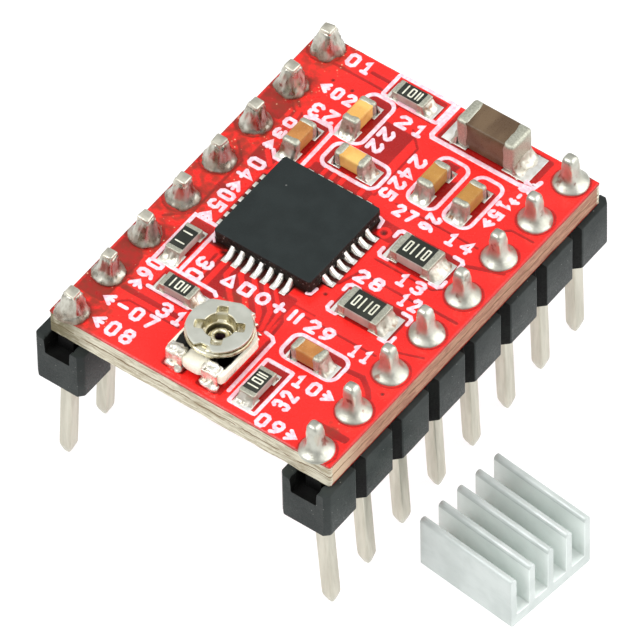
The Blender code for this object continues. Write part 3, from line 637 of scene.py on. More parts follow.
def board_face(name, z, up, copper_of):
    """One lacquered face of the board as a fine relief, with its copper map as an attribute."""
    columns, rows = (round((BOARD_HIGH[k] - BOARD_LOW[k]) / GRID_STEP) for k in (0, 1))
    x, y = np.meshgrid(np.linspace(BOARD_LOW.x, BOARD_HIGH.x, columns + 1),
                       np.linspace(BOARD_LOW.y, BOARD_HIGH.y, rows + 1))
    copper = copper_of(x, y)
    cx = np.clip(x, BOARD_LOW.x + BOARD_CORNER, BOARD_HIGH.x - BOARD_CORNER)
    cy = np.clip(y, BOARD_LOW.y + BOARD_CORNER, BOARD_HIGH.y - BOARD_CORNER)
    far = np.maximum(np.hypot(x - cx, y - cy), 1e-6)
    in_corner = (x != cx) & (y != cy)
    shrink = np.where(in_corner, np.maximum(np.abs(x - cx), np.abs(y - cy)) / far, 1.0)
    x = cx + (x - cx) * shrink
    y = cy + (y - cy) * shrink
    if not up:                  # the rows nearest the two ends come in a little
        y = y - 0.05 * np.sign(y) * (np.abs(y) > 9.3)
    slope_width = 0.07          # over which the lacquer rises on to the copper
    step = np.clip(copper / slope_width + 0.5, 0, 1)
    relief = COPPER_DEPTH * (step * step * (3 - 2 * step) - 1)
    relief -= 0.05 * np.clip(1 - from_rim(x, y) / 0.12, 0, 1) ** 2
    pit_and_painted_shade, flux = pits_painted_shade_and_flux(x, y) if up else (np.zeros_like(x), np.zeros_like(x))
    relief -= 0.03 * pit_and_painted_shade
    height = z + (relief if up else -relief)
    points = np.stack([x, y, height], -1).reshape(-1, 3) * MM
    index = np.arange((rows + 1) * (columns + 1)).reshape(rows + 1, columns + 1)
    quads = np.stack([index[:-1, :-1], index[:-1, 1:], index[1:, 1:], index[1:, :-1]], -1).reshape(-1, 4)
    if not up:
        quads = quads[:, ::-1]
    mesh = bpy.data.meshes.new(name)
    mesh.from_pydata(points.tolist(), [], quads.tolist())
    mesh.materials.append(MASK)
    mesh.shade_smooth()
    for label, values in (("copper", copper), ("pit_and_painted_shade", pit_and_painted_shade), ("flux", flux)):
        layer = mesh.attributes.new(label, "FLOAT", "POINT")
        layer.data.foreach_set("value", values.ravel().astype(np.float32))
    thing = add_object(name, mesh)
    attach(thing, "module")


def board_core():
    """The board's cut edge, all round, ragged where the router left fibres."""
    middle = 0.1                # of the board, in x and in y
    flat_x, flat_y = 7.1, 9.35  # further out than these a point is on a side, and frays inwards
    levels = 11
    rings = []
    for row in range(levels + 1):
        z = BOTTOM + 0.03 + (TOP - BOTTOM - 0.075) * row / levels
        ring = []
        for x, y in divided(rounded_box(*BOARD_LOW[:2], *BOARD_HIGH[:2], BOARD_CORNER, 3), 0.11):
            way = Vector((middle - x if abs(x - middle) > flat_x else 0,
                          middle - y if abs(y - middle) > flat_y else 0)).normalized()
            wave = noise.noise(Vector((x * 1.1, y * 1.1, z * 6.0)))
            wave += 0.5 * noise.noise(Vector((x * 4, y * 4, z * 9)))
            depth = 0.02 + 0.03 * max(0.0, 0.5 + wave)
            ring.append((x + way.x * depth, y + way.y * depth, z))
        rings.append(ring)
    points, faces = loft(rings, True, (False, False))
    shape = Shape()
    kinds = []
    for face in faces:
        mid = sum((Vector(points[i]) for i in face), Vector()) / 4
        kinds.append(0 if abs(mid.y - middle) > 9.3 or mid.x < 0 else 1)
    shape.add((points, faces), kinds)
    shape.piece("board_edge", [EDGE_NEAR, EDGE_SIDE], "pcb", angle=80)


board_face("board_component_side", TOP, True, component_side_copper)
board_face("board_solder_side", BOTTOM, False, solder_side_copper)
board_core()

# ------------------------------------------------------------------------------------- legend

# Strokes of each sign on a grid 4 wide and 6 high
SIGNS = {
    "0": [[(0, 1), (0, 5), (1, 6), (3, 6), (4, 5), (4, 1), (3, 0), (1, 0), (0, 1)]],
    "1": [[(0.8, 4.8), (2, 6), (2, 0)], [(0.8, 0), (3.2, 0)]],
    "2": [[(0, 5), (1, 6), (3, 6), (4, 5), (4, 4), (0, 0)], [(0, 0), (4, 0)]],
    "3": [[(0, 5.3), (1, 6), (3, 6), (4, 5), (4, 4), (3, 3.2), (1.5, 3.2)],
          [(3, 3.2), (4, 2.2), (4, 1), (3, 0), (1, 0), (0, 0.8)]],
    "4": [[(3, 0), (3, 6), (0, 2)], [(0, 2), (4, 2)]],
    "5": [[(4, 6), (0.2, 6), (0, 3.4), (3, 3.6), (4, 2.7), (4, 1), (3, 0), (1, 0), (0, 0.8)]],
    "6": [[(0, 1), (1, 0), (3, 0), (4, 1), (4, 2.4), (3, 3.4), (1, 3.4), (0, 2.4), (0, 1)],
          [(0, 2.2), (0.3, 3.6), (1.8, 5.3), (3.6, 5.9)]],
    "7": [[(0, 6), (4, 6)], [(4, 6), (1.5, 0)]],
    "8": [[(1, 3.2), (0.2, 4.1), (0.2, 5), (1, 6), (3, 6), (3.8, 5), (3.8, 4.1), (3, 3.2), (1, 3.2)],
          [(1, 3.2), (0, 2.2), (0, 1), (1, 0), (3, 0), (4, 1), (4, 2.2), (3, 3.2), (1, 3.2)]],
    "9": [[(4, 5), (3, 6), (1, 6), (0, 5), (0, 3.6), (1, 2.6), (3, 2.6), (4, 3.6), (4, 5)],
          [(4, 3.8), (3.7, 2.4), (2.2, 0.7), (0.4, 0.1)]],
    "<": [[(3.6, 0.6), (0, 3), (3.6, 5.4)], [(0.4, 3), (4, 3)]],
    ">": [[(0.4, 0.6), (4, 3), (0.4, 5.4)], [(3.6, 3), (0, 3)]],
    "-": [[(0, 3), (4, 3)]],
    "#": [[(0, 0.6), (0, 5.4), (0.3, 5.7), (3.7, 5.7), (4, 5.4), (4, 0.6), (3.7, 0.3), (0.3, 0.3), (0, 0.6)]],
    "o": [[(2 + 2 * math.cos(a % 12 * math.pi / 6), 3 + 2.7 * math.sin(a % 12 * math.pi / 6))
           for a in range(13)]],
    "^": [[(0, 0.4), (2, 5.6), (4, 0.4)], [(0, 0.4), (4, 0.4)]],
    "=": [[(0.6, 0.4), (0.6, 5.6)], [(3.4, 0.4), (3.4, 5.6)]],
    "+": [[(0, 3), (4, 3)], [(2, 0.6), (2, 5.4)]],
    "|": [[(2, 0), (2, 6)]],
}
INK_WIDTH = 0.19
INK_HEIGHT = 0.014
INK_STEP = 0.0025               # each stroke of a sign lies a little over the one before


def write(shape, text, x, y, width, height, angle=0.0, stroke=INK_WIDTH, base=TOP, rise=INK_HEIGHT):
    """Signs side by side in a box centred on x, y, turned by an angle in degrees."""
    step = (width + 0.28 * width / len(text)) / len(text)
    sign_width = step * 0.78 - stroke
    place = turn_about(x, y, math.radians(angle))
    for i, sign in enumerate(text):
        left = -width / 2 + step * i + stroke / 2
        for layer, path in enumerate(SIGNS[sign]):
            closed = path[0] == path[-1]
            corners = path[:-1] if closed else path
            points = [place @ Vector((left + px / 4 * sign_width, (py / 6 - 0.5) * (height - stroke), 0))
                      for px, py in corners]
            flat = [(p.x, p.y) for p in points]
            shape.add(ribbon(flat, stroke, rise + layer * INK_STEP, base, closed))


def draw(shape, points, width=INK_WIDTH, closed=False):
    """One printed line; lines that cross differ a little in height."""
    layer = len(shape.faces) % 7
    shape.add(ribbon(points, width, INK_HEIGHT - (layer + 1) * 0.001, TOP, closed))


LABELS = (
    # text, centre x and y, width, height, angle
    ("01", -4.65, 8.98, 1.3, 0.78, 0), ("<02", -4.45, 7.1, 1.75, 0.72, 0),
    ("03<", -5.12, 3.95, 1.95, 0.62, -90), ("04<", -4.9, 1.3, 2.05, 0.85, -90),
    ("05<", -4.9, -0.75, 1.85, 0.85, -90), ("06<", -5.05, -5.45, 1.75, 0.85, -90),
    ("<-07", -4.4, -7.45, 2.7, 0.78, 0), ("<08", -4.38, -8.65, 2.05, 0.85, 0),
    ("09>", 4.3, -8.95, 2.0, 0.78, 0), ("10>", 4.3, -6.4, 2.0, 0.78, 0), ("11", 4.76, -3.75, 1.05, 0.78, 0),
    ("12", 4.76, -0.35, 1.0, 0.78, 0), ("13", 4.2, 0.5, 1.35, 0.78, 0), ("14", 4.55, 3.45, 1.35, 0.78, 0),
    ("15>", 4.85, 5.6, 1.6, 0.72, -90), ("16->", 5.05, 7.2, 1.5, 0.62, -90),
    ("21", -0.85, 7.45, 1.45, 0.75, 0), ("22", -1.45, 6.1, 1.4, 0.75, -90),
    ("23", -4.25, 5.85, 1.3, 0.85, 180),
    ("24", 0.52, 5.65, 1.4, 0.8, -90), ("25", 0.52, 4.25, 1.25, 0.8, -90), ("26", 2.9, 3.65, 0.95, 0.75, -90),
    ("27", 1.75, 3.45, 1.05, 0.72, 0), ("28", 2.7, -0.35, 1.35, 0.75, 0), ("29", 2.65, -3.72, 1.3, 0.78, 0),
    ("30", -3.4, -3.95, 1.3, 0.8, -90), ("31", -2.85, -6.6, 1.35, 0.85, 0), ("32", 3.72, -7.6, 1.0, 0.85, 90),
    ("^#o+=", -0.32, -3.72, 4.0, 0.8, 0),
)


def legend():
    """Everything printed on the component side: pin and part numbers, then outlines."""
    shape = Shape()
    for label in LABELS:
        write(shape, *label)
    for outline in ((-3.37, 5.25, -2.0, 8.05), (-2.9, 3.62, -0.05, 5.05), (1.17, 4.15, 2.62, 7.0),
                    (3.02, 4.15, 4.38, 7.0), (1.92, -5.72, 4.73, -4.3)):
        draw(shape, rounded_box(*outline, 0.42), closed=True)
    draw(shape, [(-4.78, 3.05), (-4.5, 2.75), (-4.15, 2.73)])
    draw(shape, [(-4.78, 5.3), (-4.4, 5.45), (-3.6, 5.45), (-3.35, 5.2), (-3.32, 3.1)], 0.2)
    draw(shape, rounded_box(-2.92, 8.2, -0.12, 9.5, 0.06, 2), closed=True)
    draw(shape, [(-5.32, -4.65), (-5.32, -1.68), (-4.1, -1.68), (-4.02, -2.0), (-4.02, -4.55)])
    draw(shape, [(-4.55, -4.58), (-2.15, -4.6), (-1.95, -4.75)])
    draw(shape, [(-4.6, -5.93), (-2.5, -5.93)])
    draw(shape, rounded_box(1.8, -8.92, 3.12, -6.22, 0.06, 2), closed=True)
    for x, y, sx, sy in ((2.12, 2.62, 1, -1), (2.12, 1.0, 1, 1), (5.32, 2.75, -1, -1), (5.32, 1.0, -1, 1),
                         (2.12, -0.95, 1, -1), (2.12, -2.62, 1, 1), (5.38, -0.95, -1, -1),
                         (5.38, -2.65, -1, 1)):
        draw(shape, [(x + sx * 0.5, y), (x + sx * 0.12, y), (x, y + sy * 0.12), (x, y + sy * 0.42)])
    draw(shape, [(0.9, -5.12), (1.28, -5.18), (1.45, -5.35), (1.5, -8.5)])
    draw(shape, [(0.08, 9.5), (0.08, 7.62), (0.2, 7.48), (4.6, 7.48), (5.25, 7.6), (5.35, 8.1)], 0.24)
    draw(shape, [(1.0, -2.42), (1.15, -2.35), (1.2, -2.0)], 0.16)
    draw(shape, [(1.0, 2.66), (1.22, 2.6), (1.3, 2.2)], 0.16)
    draw(shape, [(-4.05, -2.15), (-3.8, -2.4)], 0.12)
    shape.piece("board_legend", [INK], angle=80)


legend()

# --------------------------------------------------------------------- header pins and strips


def lean(row, number, z):
    """How far a pin stands off its straight line at a height: both rows splay outwards below."""
    spread = -0.48 if row == "left" else 0.57 - 0.36 * (number - 1) / 7
    middle = (TOP + BOTTOM) / 2
    return spread * (middle - z) / middle


def header_pin(row, number):
    """Square pin with a worn tip, its cut top torn on the left row."""
    node = f"header_pin_{row}_{number}"
    low, high, centre = box_mm(node)
    half = (high.x - low.x) / 2
    left = row == "left"
    uneven = random.uniform(-0.03, 0.03)
    twist = random.uniform(-0.04, 0.04)
    blunt = random.uniform(0.46, 0.56)
    top = high.z - (0.14 if left else 0.0)
    # Height of each section and its share of the full width, then the cut top's, measured down
    sections = [(0.0, blunt * 0.55), (0.025, blunt * 0.86), (0.09, blunt), (0.27, 0.74), (0.42, 0.9),
                (0.55, 0.98)]
    sections += [(0.85 + (high.z - 1.3) * i / 12, 1.0) for i in range(13)]
    cut_left = ((0.3, 0.96), (0.07, 0.92), (0.02, 0.87), (0.0, 0.76))
    cut_right = ((0.32, 0.96), (0.1, 0.78), (0.02, 0.66), (0.0, 0.5))
    sections += [(top - drop, share) for drop, share in (cut_left if left else cut_right)]
    cos, sin = math.cos(twist), math.sin(twist)
    rings = []
    for z, share in sections:
        x = centre.x + lean(row, number, z) + (uneven * (1 - z) if z < 1 else 0)
        wide = half * share
        square = rounded_box(-wide, -wide, wide, wide, min(0.07, wide * 0.6), 3)
        rings.append([(x + px * cos - py * sin, pin_y(number) + px * sin + py * cos, z) for px, py in square])
    points, faces = roughen(loft(rings), 0.004, 0.5, number + left * 20)
    if left:
        torn = roughen((points, faces), 0.055, 0.26, number)[0]
        points = [t if p.z > top - 0.4 else p for p, t in zip(points, torn)]
    shape = Shape()
    shape.add((points, faces))
    shape.piece(f"pin_{row}_{number}", [PIN_TIN], node, angle=40)


# Height on the board, then the radius of a hollow joint and of a full one
LEFT_JOINT = ((-0.02, 0.74, 0.74), (0.03, 0.745, 0.745), (0.08, 0.71, 0.73), (0.13, 0.65, 0.705),
              (0.19, 0.57, 0.675), (0.27, 0.49, 0.635), (0.38, 0.42, 0.585), (0.52, 0.37, 0.53),
              (0.7, 0.345, 0.465), (0.9, 0.33, 0.405), (1.08, 0.315, 0.355), (1.2, 0.29, 0.31),
              (1.26, 0.24, 0.25))
LEFT_FULLNESS = (0.8, 0.15, 0.6, 0.25, 0.6, 0.55, 0.75, 0.9)
RIGHT_JOINT = ((-0.02, 0.79), (0.03, 0.785), (0.08, 0.735), (0.14, 0.65), (0.22, 0.55), (0.33, 0.45),
               (0.48, 0.38), (0.68, 0.335), (0.9, 0.315), (1.15, 0.305), (1.36, 0.295), (1.48, 0.265),
               (1.55, 0.2), (1.585, 0.11))


def solder_joint(row, number):
    """Bright hollow cone on the right row; a rougher, fluxed and steeper one on the left."""
    left = row == "left"
    seed = number + left * 31
    vary = random.uniform(-0.02, 0.02)
    profile = RIGHT_JOINT
    wave, fine = 0.03, 0.0
    if left:
        full = LEFT_FULLNESS[number - 1]
        profile = [(z, hollow + (cone - hollow) * full) for z, hollow, cone in LEFT_JOINT]
        wave, fine = (0.1, 0.045) if number in (1, 7, 8) else (0.08, 0.035)
    rings = []
    for z, radius in profile:
        ring = []
        squareness = min(1.0, max(0.0, (z - 0.1) / 0.6))
        x = (-ROW_X if left else ROW_X) + lean(row, number, TOP + z)
        for c, s in circle(40):
            superellipse = (abs(c) ** 5 + abs(s) ** 5) ** -0.2
            ripple = noise.noise(Vector((c * 1.3 + seed * 3.1, s * 1.3, z * 1.6)))
            grit = noise.noise(Vector((c * 4.3 + seed, s * 4.3, z * 5.0)))
            uneven = (wave * ripple + fine * grit * (1 + squareness)) * 1.6
            r = radius * (1 + (superellipse - 1) * squareness * 0.8) * (1 + vary + uneven)
            if z < 0.05:
                r = min(r, 0.8)
            ring.append((x + r * c, pin_y(number) + r * s, TOP + z + (fine * grit if z > 0.05 else 0)))
        rings.append(ring)
    shape = Shape()
    shape.add(loft(rings))
    material = FLUXED_SOLDER if left else BRIGHT_SOLDER
    shape.piece(f"joint_{row}_{number}", [material], f"solder_joint_{row}_{number}", angle=70)


def header_strip(row):
    """Eight snap-off segments with softened edges and a ragged trough on the board side; the notch walls, the
    trough and the sleeves round the pins there are in near-black painted shade.
    """
    low, high, middle = box_mm(f"header_strip_{row}")
    centre = middle.x
    half = (high.x - low.x) / 2
    end = (high.y - low.y) / 2
    notch, corner, soft = 0.37, 0.22, 0.035
    trough, depth = 0.7, 0.8
    step = 0.1
    seed = 5.0 if row == "left" else 9.0
    breaks = [pin_y(n) + PITCH / 2 for n in range(1, 8)]

    def wave(a, b, c):
        return noise.noise(Vector((a, b, c)))

    def half_width(y):
        inset = max(0.0, abs(y) - end + corner)
        for place in breaks:
            inset = max(inset, notch - abs(y - place))
        return half - inset

    def gets_painted_shade(corners):
        """Whether a face is a wall of a snap-off notch or of the trough, which take the painted shade."""
        mid = sum(corners, Vector()) / len(corners)
        in_notch = any(max(abs(c.y - place) for c in corners) < notch + 0.01 for place in breaks)
        aside = abs(mid.x - centre)
        in_trough = aside < trough + 0.08 and high.z - depth - 0.1 < mid.z < high.z - 0.07
        return len(corners) == 4 and (in_trough or (in_notch and aside > half - notch - 0.1))

    stations = {side * (end - inset) for side in (-1, 1) for inset in (0, 0.02, corner - soft, corner + soft)}
    near_break = (-notch - soft, -notch + soft, -soft, soft, notch - soft, notch + soft)
    stations |= {place + offset for place in breaks for offset in near_break}
    stations |= {-end + 0.3 + i * step for i in range(int((2 * end - 0.5) / step))}
    rings = []
    for y in sorted(stations):
        w = half_width(y)
        near_end = max(0.0, 1 - (end - abs(y)) / 0.5)
        worn = 0.05 * max(0.0, wave(y * 2.3, seed, 1)) + 0.12 * near_end * abs(wave(y * 9, seed, 7))
        other, wall = (trough + 0.05 * wave(y * 3.1, seed, side)
                       - 0.14 * near_end * abs(wave(y * 7, side, seed)) for side in (-4, 4))
        floor = high.z - depth + 0.03 * wave(y * 2.0, seed, 20)
        outside = [(w - 0.06, low.z), (w - 0.018, low.z + 0.018), (w, low.z + 0.06), (w, low.z + 1.2),
                   (w, high.z - 0.07), (w - 0.02, high.z - 0.02), (w - 0.07, high.z - 0.2 * worn)]
        inside = [(wall + 0.05, high.z - worn), (wall + 0.01, high.z - 0.04 - worn),
                  (wall, high.z - 0.12 - worn), (wall - 0.03, high.z - 0.5),
                  (wall - 0.03, floor + 0.05), (wall - 0.08, floor),
                  (0.42, floor + 0.16 * near_end * wave(y, seed, 30)),
                  (0.15, floor - 0.22 * near_end * abs(wave(y, seed, 40)))]
        mirrored = outside + [(x + other - wall, z) for x, z in inside]
        rings.append([(centre + x, y, z) for x, z in outside + inside] +
                     [(centre - x, y, z) for x, z in reversed(mirrored)])
    points, faces = loft(rings)
    shape = Shape()
    painted_shade_kinds = [int(gets_painted_shade([Vector(points[i]) for i in face])) for face in faces]
    shape.add(roughen((points, faces), 0.008, 0.6, seed), painted_shade_kinds)
    # Black sleeves round the pins in the trough, in the painted-shade plastic: a dark thing where the pins
    # lie in shade
    for number in ROWS:
        place = (centre + lean(row, number, high.z), pin_y(number), high.z - depth / 2 - 0.1)
        shape.add(block((0.82, 0.82, depth), place, 0.04, 2), 1)
    shape.piece(f"strip_{row}", [STRIP_PLASTIC, STRIP_PAINTED_SHADE], f"header_strip_{row}",
                crisp=True, angle=40)


for row_name in ("left", "right"):
    header_strip(row_name)
    for pin_number in ROWS:
        header_pin(row_name, pin_number)
        solder_joint(row_name, pin_number)

# --------------------------------------------------------------------------------------- chip

LEADS = 7
LEAD_PITCH = 0.5
LAND_THICKNESS = 0.03


def chip():
    """Moulded body with sawn sides and a smoother lid, and the soldered leads round it."""
    low, high, middle = box_mm("chip_mould")
    half = (high.x - low.x) / 2
    chamfer = 0.09

    def ring(inset, z, wave=0.0):
        h = half - inset
        k = chamfer
        corners = [(h, h - k), (h - k, h), (-h + k, h), (-h, h - k), (-h, -h + k), (-h + k, -h),
                   (h - k, -h), (h, -h + k)]
        points = []
        for start, end in zip(corners, corners[1:] + corners[:1]):
            steps = 26 if math.dist(start, end) > 1 else 3
            for step in range(steps):
                x, y = Vector(start).lerp(Vector(end), step / steps)
                push = 1 + wave * noise.noise(Vector((x * 4.2, y * 4.2, z * 7))) / half
                points.append((middle.x + x * push, middle.y + y * push, z))
        return points

    shape = Shape()
    walls = [ring(0.05, low.z), ring(0.02, low.z + 0.05, 0.05), ring(0.02, low.z + 0.25, 0.06),
             ring(0.03, low.z + 0.45, 0.06), ring(0.012, high.z - 0.09, 0.03), ring(0.006, high.z - 0.05)]
    shape.add(loft(walls, True, (True, False)), 1)
    lid = [ring(0.006, high.z - 0.05), ring(0.012, high.z - 0.02), ring(0.035, high.z - 0.004),
           ring(0.07, high.z)]
    shape.add(loft(lid, True, (False, True)), 0)
    shape.piece("chip_body", [MOULD, MOULD_SIDE], "chip_mould", angle=38)

    leads = Shape()
    lands = Shape()
    for side in range(4):
        outward = Vector((round(math.cos(side * math.pi / 2)), round(math.sin(side * math.pi / 2))))
        along = Vector((-outward.y, outward.x))
        reach = 0.62 if side == 3 else 0.46
        for lead in range(LEADS):
            foot = middle.xy + outward * half + along * ((lead - (LEADS - 1) / 2) * LEAD_PITCH)
            leads.add(fillet(foot, outward, 0.32, reach, 0.27, side * 10 + lead, 0.1, 9, 9))
            place = foot + outward * reach / 2
            size = (reach + 0.1, 0.28) if outward.x else (0.28, reach + 0.1)
            lands.add(block((*size, LAND_THICKNESS), (*place, TOP - 0.002), 0.01, 2))
    leads.piece("chip_lead_solder", [LEAD_SOLDER], angle=60)
    lands.piece("chip_lands", [LEAD_SOLDER])


chip()
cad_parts["chip_thermal_pad"].data.materials[0] = COPPER
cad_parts["chip_die"].data.materials[0] = SILICON

# --------------------------------------------------------------------- capacitors and resistors

# Slot, body, marks on the coat, then how far the solder runs out at the low and at the high end
COMPONENTS = {
    "capacitor_far_left": ("pale_ceramic", PALE_CERAMIC, "", 0.42, 0.28),
    "capacitor_left": ("tan_ceramic", TAN_CERAMIC, "", 0.42, 0.28),
    "capacitor_far_middle": ("pale_ceramic", PALE_CERAMIC, "", 0.2, 0.42),
    "capacitor_pair_left": ("pale_ceramic", AMBER_CERAMIC, "", 0.46, 0.25),
    "capacitor_pair_right": ("pale_ceramic", AMBER_CERAMIC, "", 0.46, 0.25),
    "capacitor_near_right": ("tan_ceramic", TAN_CERAMIC, "", 0.2, 0.45),
    "capacitor_bulk": ("brown_ceramic", BROWN_CERAMIC, "", 0.66, 0.72),
    "resistor_far_left": ("resistor_coat", ALUMINA, "|#=", 0.2, 0.45),
    "resistor_left": ("resistor_coat", ALUMINA, "=", 0.5, 0.2),
    "resistor_near_left": ("resistor_coat", ALUMINA, "|#=", 0.25, 0.45),
    "resistor_near_right": ("resistor_coat", ALUMINA, "|#=", 0.42, 0.2),
    "sense_resistor_far": ("resistor_coat", ALUMINA, "#||#", 0.28, 0.5),
    "sense_resistor_near": ("resistor_coat", ALUMINA, "#||#", 0.28, 0.5),
}


def tinned_end(size, middle, side, soft, seed):
    """Metal band round one end of a component, its inner rim wavy."""
    points, faces = block(size, (middle, 0, size[2] / 2), soft, 4, 4)
    moved = []
    for p in points:
        inner_side = (p.x - middle) * side < 0
        wave = 0.09 * noise.noise(Vector((seed + side * 5, p.y * 2.3, p.z * 2.3))) if inner_side else 0.0
        moved.append(Vector((p.x + wave, p.y, p.z)))
    return roughen((moved, faces), 0.012, 0.35, seed + side)


def component(node, solder, lands):
    """A body with tinned ends, marked if it is a resistor; its solder and lands join the rest."""
    slot, body_material, marks, *runs = COMPONENTS[node]
    low, high, centre = box_mm(node)
    height = high.z - low.z
    along_y = high.y - low.y > high.x - low.x
    width, length = sorted((high.x - low.x, high.y - low.y))
    seed = sum(map(ord, node)) % 97
    bulk = node == "capacitor_bulk"
    if marks:
        band = 0.35 if node.startswith("sense") else 0.28
        thinner, round_edge, soft, climb = 0.04, 0.03, 0.05, 0.85
    else:
        band = 0.5 if bulk else 0.3
        thinner, round_edge, soft, climb = 0.07, 0.08, min(0.18, 0.13 * height + 0.06), 0.72
    inner = soft * 0.6
    turn = math.pi / 2 if along_y else 0.0
    place = Matrix.Translation((0, 0, low.z)) @ turn_about(centre.x, centre.y, turn)
    shape = Shape()
    body = block((length - band, width - thinner, height - thinner), (0, 0, height / 2), round_edge, 3, 3)
    shape.add(roughen(body, 0.006, 0.4, seed), 0, place)
    for side in (-1, 1):
        middle = side * (length - band - inner) / 2
        shape.add(tinned_end((band + inner, width, height), middle, side, soft, seed), 1, place)
    if marks:
        coat_length = length - 2 * band + 0.1
        shape.add(block((coat_length, width - 0.1, 0.05), (0, 0, height - 0.005), 0.02, 2), 2, place)
        signs = Shape()
        sign_height = (width - 0.1) * (0.8 if width < 1 else 0.6)
        write(signs, marks, 0, 0, coat_length * 0.8, sign_height, 0, 0.075, height + 0.018, 0.008)
        shape.add((signs.points, signs.faces), 3, place)
    materials = [body_material, END_TIN] + ([COAT, MARK] if marks else [])
    shape.piece(node + "_body", materials, node, crisp=True, angle=55)
    for side, run in zip((-1, 1), runs):
        outward = Vector((0, side)) if along_y else Vector((side, 0))
        foot = centre.xy + outward * length / 2
        rise, spread = (height * climb * 0.45, run * 0.7) if bulk else (height * climb, run)
        solder.add(fillet(foot, outward, rise, spread, width + 0.06, seed + side, 0.3, 10, 17))
        land = (run + band + 0.1, width + 0.12)
        spot = foot + outward * (run - band) / 2
        lands.add(block((*(land[::-1] if along_y else land), LAND_THICKNESS), (*spot, TOP), 0.012, 2))


def components():
    solder = Shape()
    lands = Shape()
    for node in COMPONENTS:
        component(node, solder, lands)
    solder.piece("component_solder", [LAND_SOLDER], angle=60)
    lands.piece("component_lands", [LEAD_SOLDER])


components()

# ------------------------------------------------------------------------------------ trimmer

ROTOR_MIDDLE = box_mm("trimmer_rotor")[2]
AT_AXIS = Matrix.Translation((ROTOR_MIDDLE.x, ROTOR_MIDDLE.y, TOP))


def trimmer_base():
    """Ceramic tray: the outline pulled in to a rim, a round well and the hole for the eyelet."""
    side = [(1.27, -1.84), (1.4, -1.8), (1.475, -1.62), (1.475, 0.62), (1.44, 0.72), (0.55, 1.61),
            (0.45, 1.65)]
    front = [(-0.58, -1.84), (-0.5, -1.9), (-0.3, -1.95), (0.2, -1.95), (0.4, -1.9), (0.48, -1.84)]
    rings = []
    for x, y in divided(side + [(-x, y) for x, y in reversed(side)] + front, 0.12):
        out = Vector((x, y))
        way = out.normalized()
        section = [(way * 0.33, 0.3), (out - way * 0.04, 0.3), (out, 0.34), (out, 0.75),
                   (out - way * 0.015, 0.785), (out - way * 0.05, 0.8), (way * 0.82, 0.8),
                   (way * 0.785, 0.77), (way * 0.78, 0.44), (way * 0.33, 0.44)]
        rings.append([(spot.x, spot.y, z) for spot, z in section])
    shape = Shape()
    shape.add(loft(rings, True, (False, False), True), 0, AT_AXIS)
    shape.add(pebble((0.46, 0.14, 0.28), (-0.05, -1.83, 0.52), 0.55), 0, AT_AXIS)
    shape.piece("trimmer_block", [GLAZED], "trimmer_base", angle=40)


def trimmer_film():
    """Black resistive film: an open ring out to the tray's rim, and its leads to the front."""
    low, high, _ = box_mm("trimmer_track")
    z0, z1 = low.z - TOP, high.z - TOP
    mouth = math.radians(33)
    rings = []
    for i in range(31):
        a = -math.pi / 2 + mouth + (math.tau - 2 * mouth) * i / 30
        c, s = math.cos(a), math.sin(a)
        reach = 1.325 / max(abs(c), 1e-3)
        if s > 0:
            reach = min(reach, 1.5 / max(s, 1e-3), 1.83 / (abs(c) + s + 1e-3))
        else:
            reach = min(reach, 1.36 / max(-s, 1e-3))
        near = 0.84
        section = ((near, z0), (reach, z0), (reach, z1 - 0.01), (reach * 0.985, z1), (near * 1.02, z1),
                   (near, z1 - 0.01))
        rings.append([(r * c, r * s, z) for r, z in section])
    film = Shape()
    film.add(loft(rings), 0, AT_AXIS)
    for width, depth, x, y in ((0.3, 0.62, -0.68, -1.25), (0.3, 0.62, 0.61, -1.25), (0.55, 0.7, 1.03, -1.05)):
        film.add(block((width, depth, z1 - z0), (x, y, (z0 + z1) / 2), 0.01, 1), 0, AT_AXIS)
    film.piece("trimmer_film", [CARBON], "trimmer_track", angle=40)


def terminal(label, lumps):
    """Crumpled tin leaf: each lump is a part, how far it is dented, the dents' width and a seed."""
    shape = Shape()
    for part, amount, size, seed in lumps:
        shape.add(roughen(part, amount, size, seed), 0, AT_AXIS)
    shape.piece(f"terminal_{label}", [LEAF_TIN], f"trimmer_terminal_{label}", angle=70)


def trimmer_terminals():
    for label, x0, x1, curl_x, seed in (("left", -1.38, -0.54, -0.64, 3), ("right", 0.44, 1.26, 0.56, 8)):
        middle, width = (x0 + x1) / 2, x1 - x0
        terminal(label, (
            (block((width, 0.5, 0.1), (middle, -1.64, 0.84), 0.045, 3, 8), 0.05, 0.28, seed),
            (block((width * 0.98, 0.1, 0.8), (middle, -1.89, 0.47), 0.045, 3, 8), 0.03, 0.3, seed + 1),
            (pebble((width * 0.42, 0.24, 0.1), (middle, -1.62, 0.9), 0.75, 16, 32), 0.09, 0.22, seed + 2),
            (pebble((width * 0.56, 0.2, 0.2), (middle, -1.93, 0.08), 0.7, 16, 36), 0.09, 0.24, seed + 3),
            (pebble((0.11, 0.3, 0.09), (curl_x, -1.68, 0.92), 0.9), 0.06, 0.25, seed + 4)))
    beads = ((0.9, 1.45, 0.09), (1.0, 1.2, 0.07), (1.08, 0.95, 0.05), (-0.75, 1.6, 0.08))
    terminal("rear", (
        (block((1.06, 0.3, 0.09), (0, 1.5, 0.86), 0.04, 3, 5), 0.02, 0.3, 14),
        (block((1.06, 0.09, 0.82), (0, 1.71, 0.45), 0.04, 3, 5), 0.02, 0.3, 15),
        (pebble((0.62, 0.16, 0.16), (0, 1.72, 0.06), 0.7, 14, 30), 0.08, 0.24, 16),
        (pebble((0.26, 0.12, 0.2), (0.3, 1.72, 0.62), 0.8), 0.06, 0.2, 17),
        *((pebble((r * 1.4, r, r * 0.8), (x, y, 0.05), 0.9, 8, 12), 0.04, 0.12, x) for x, y, r in beads)))


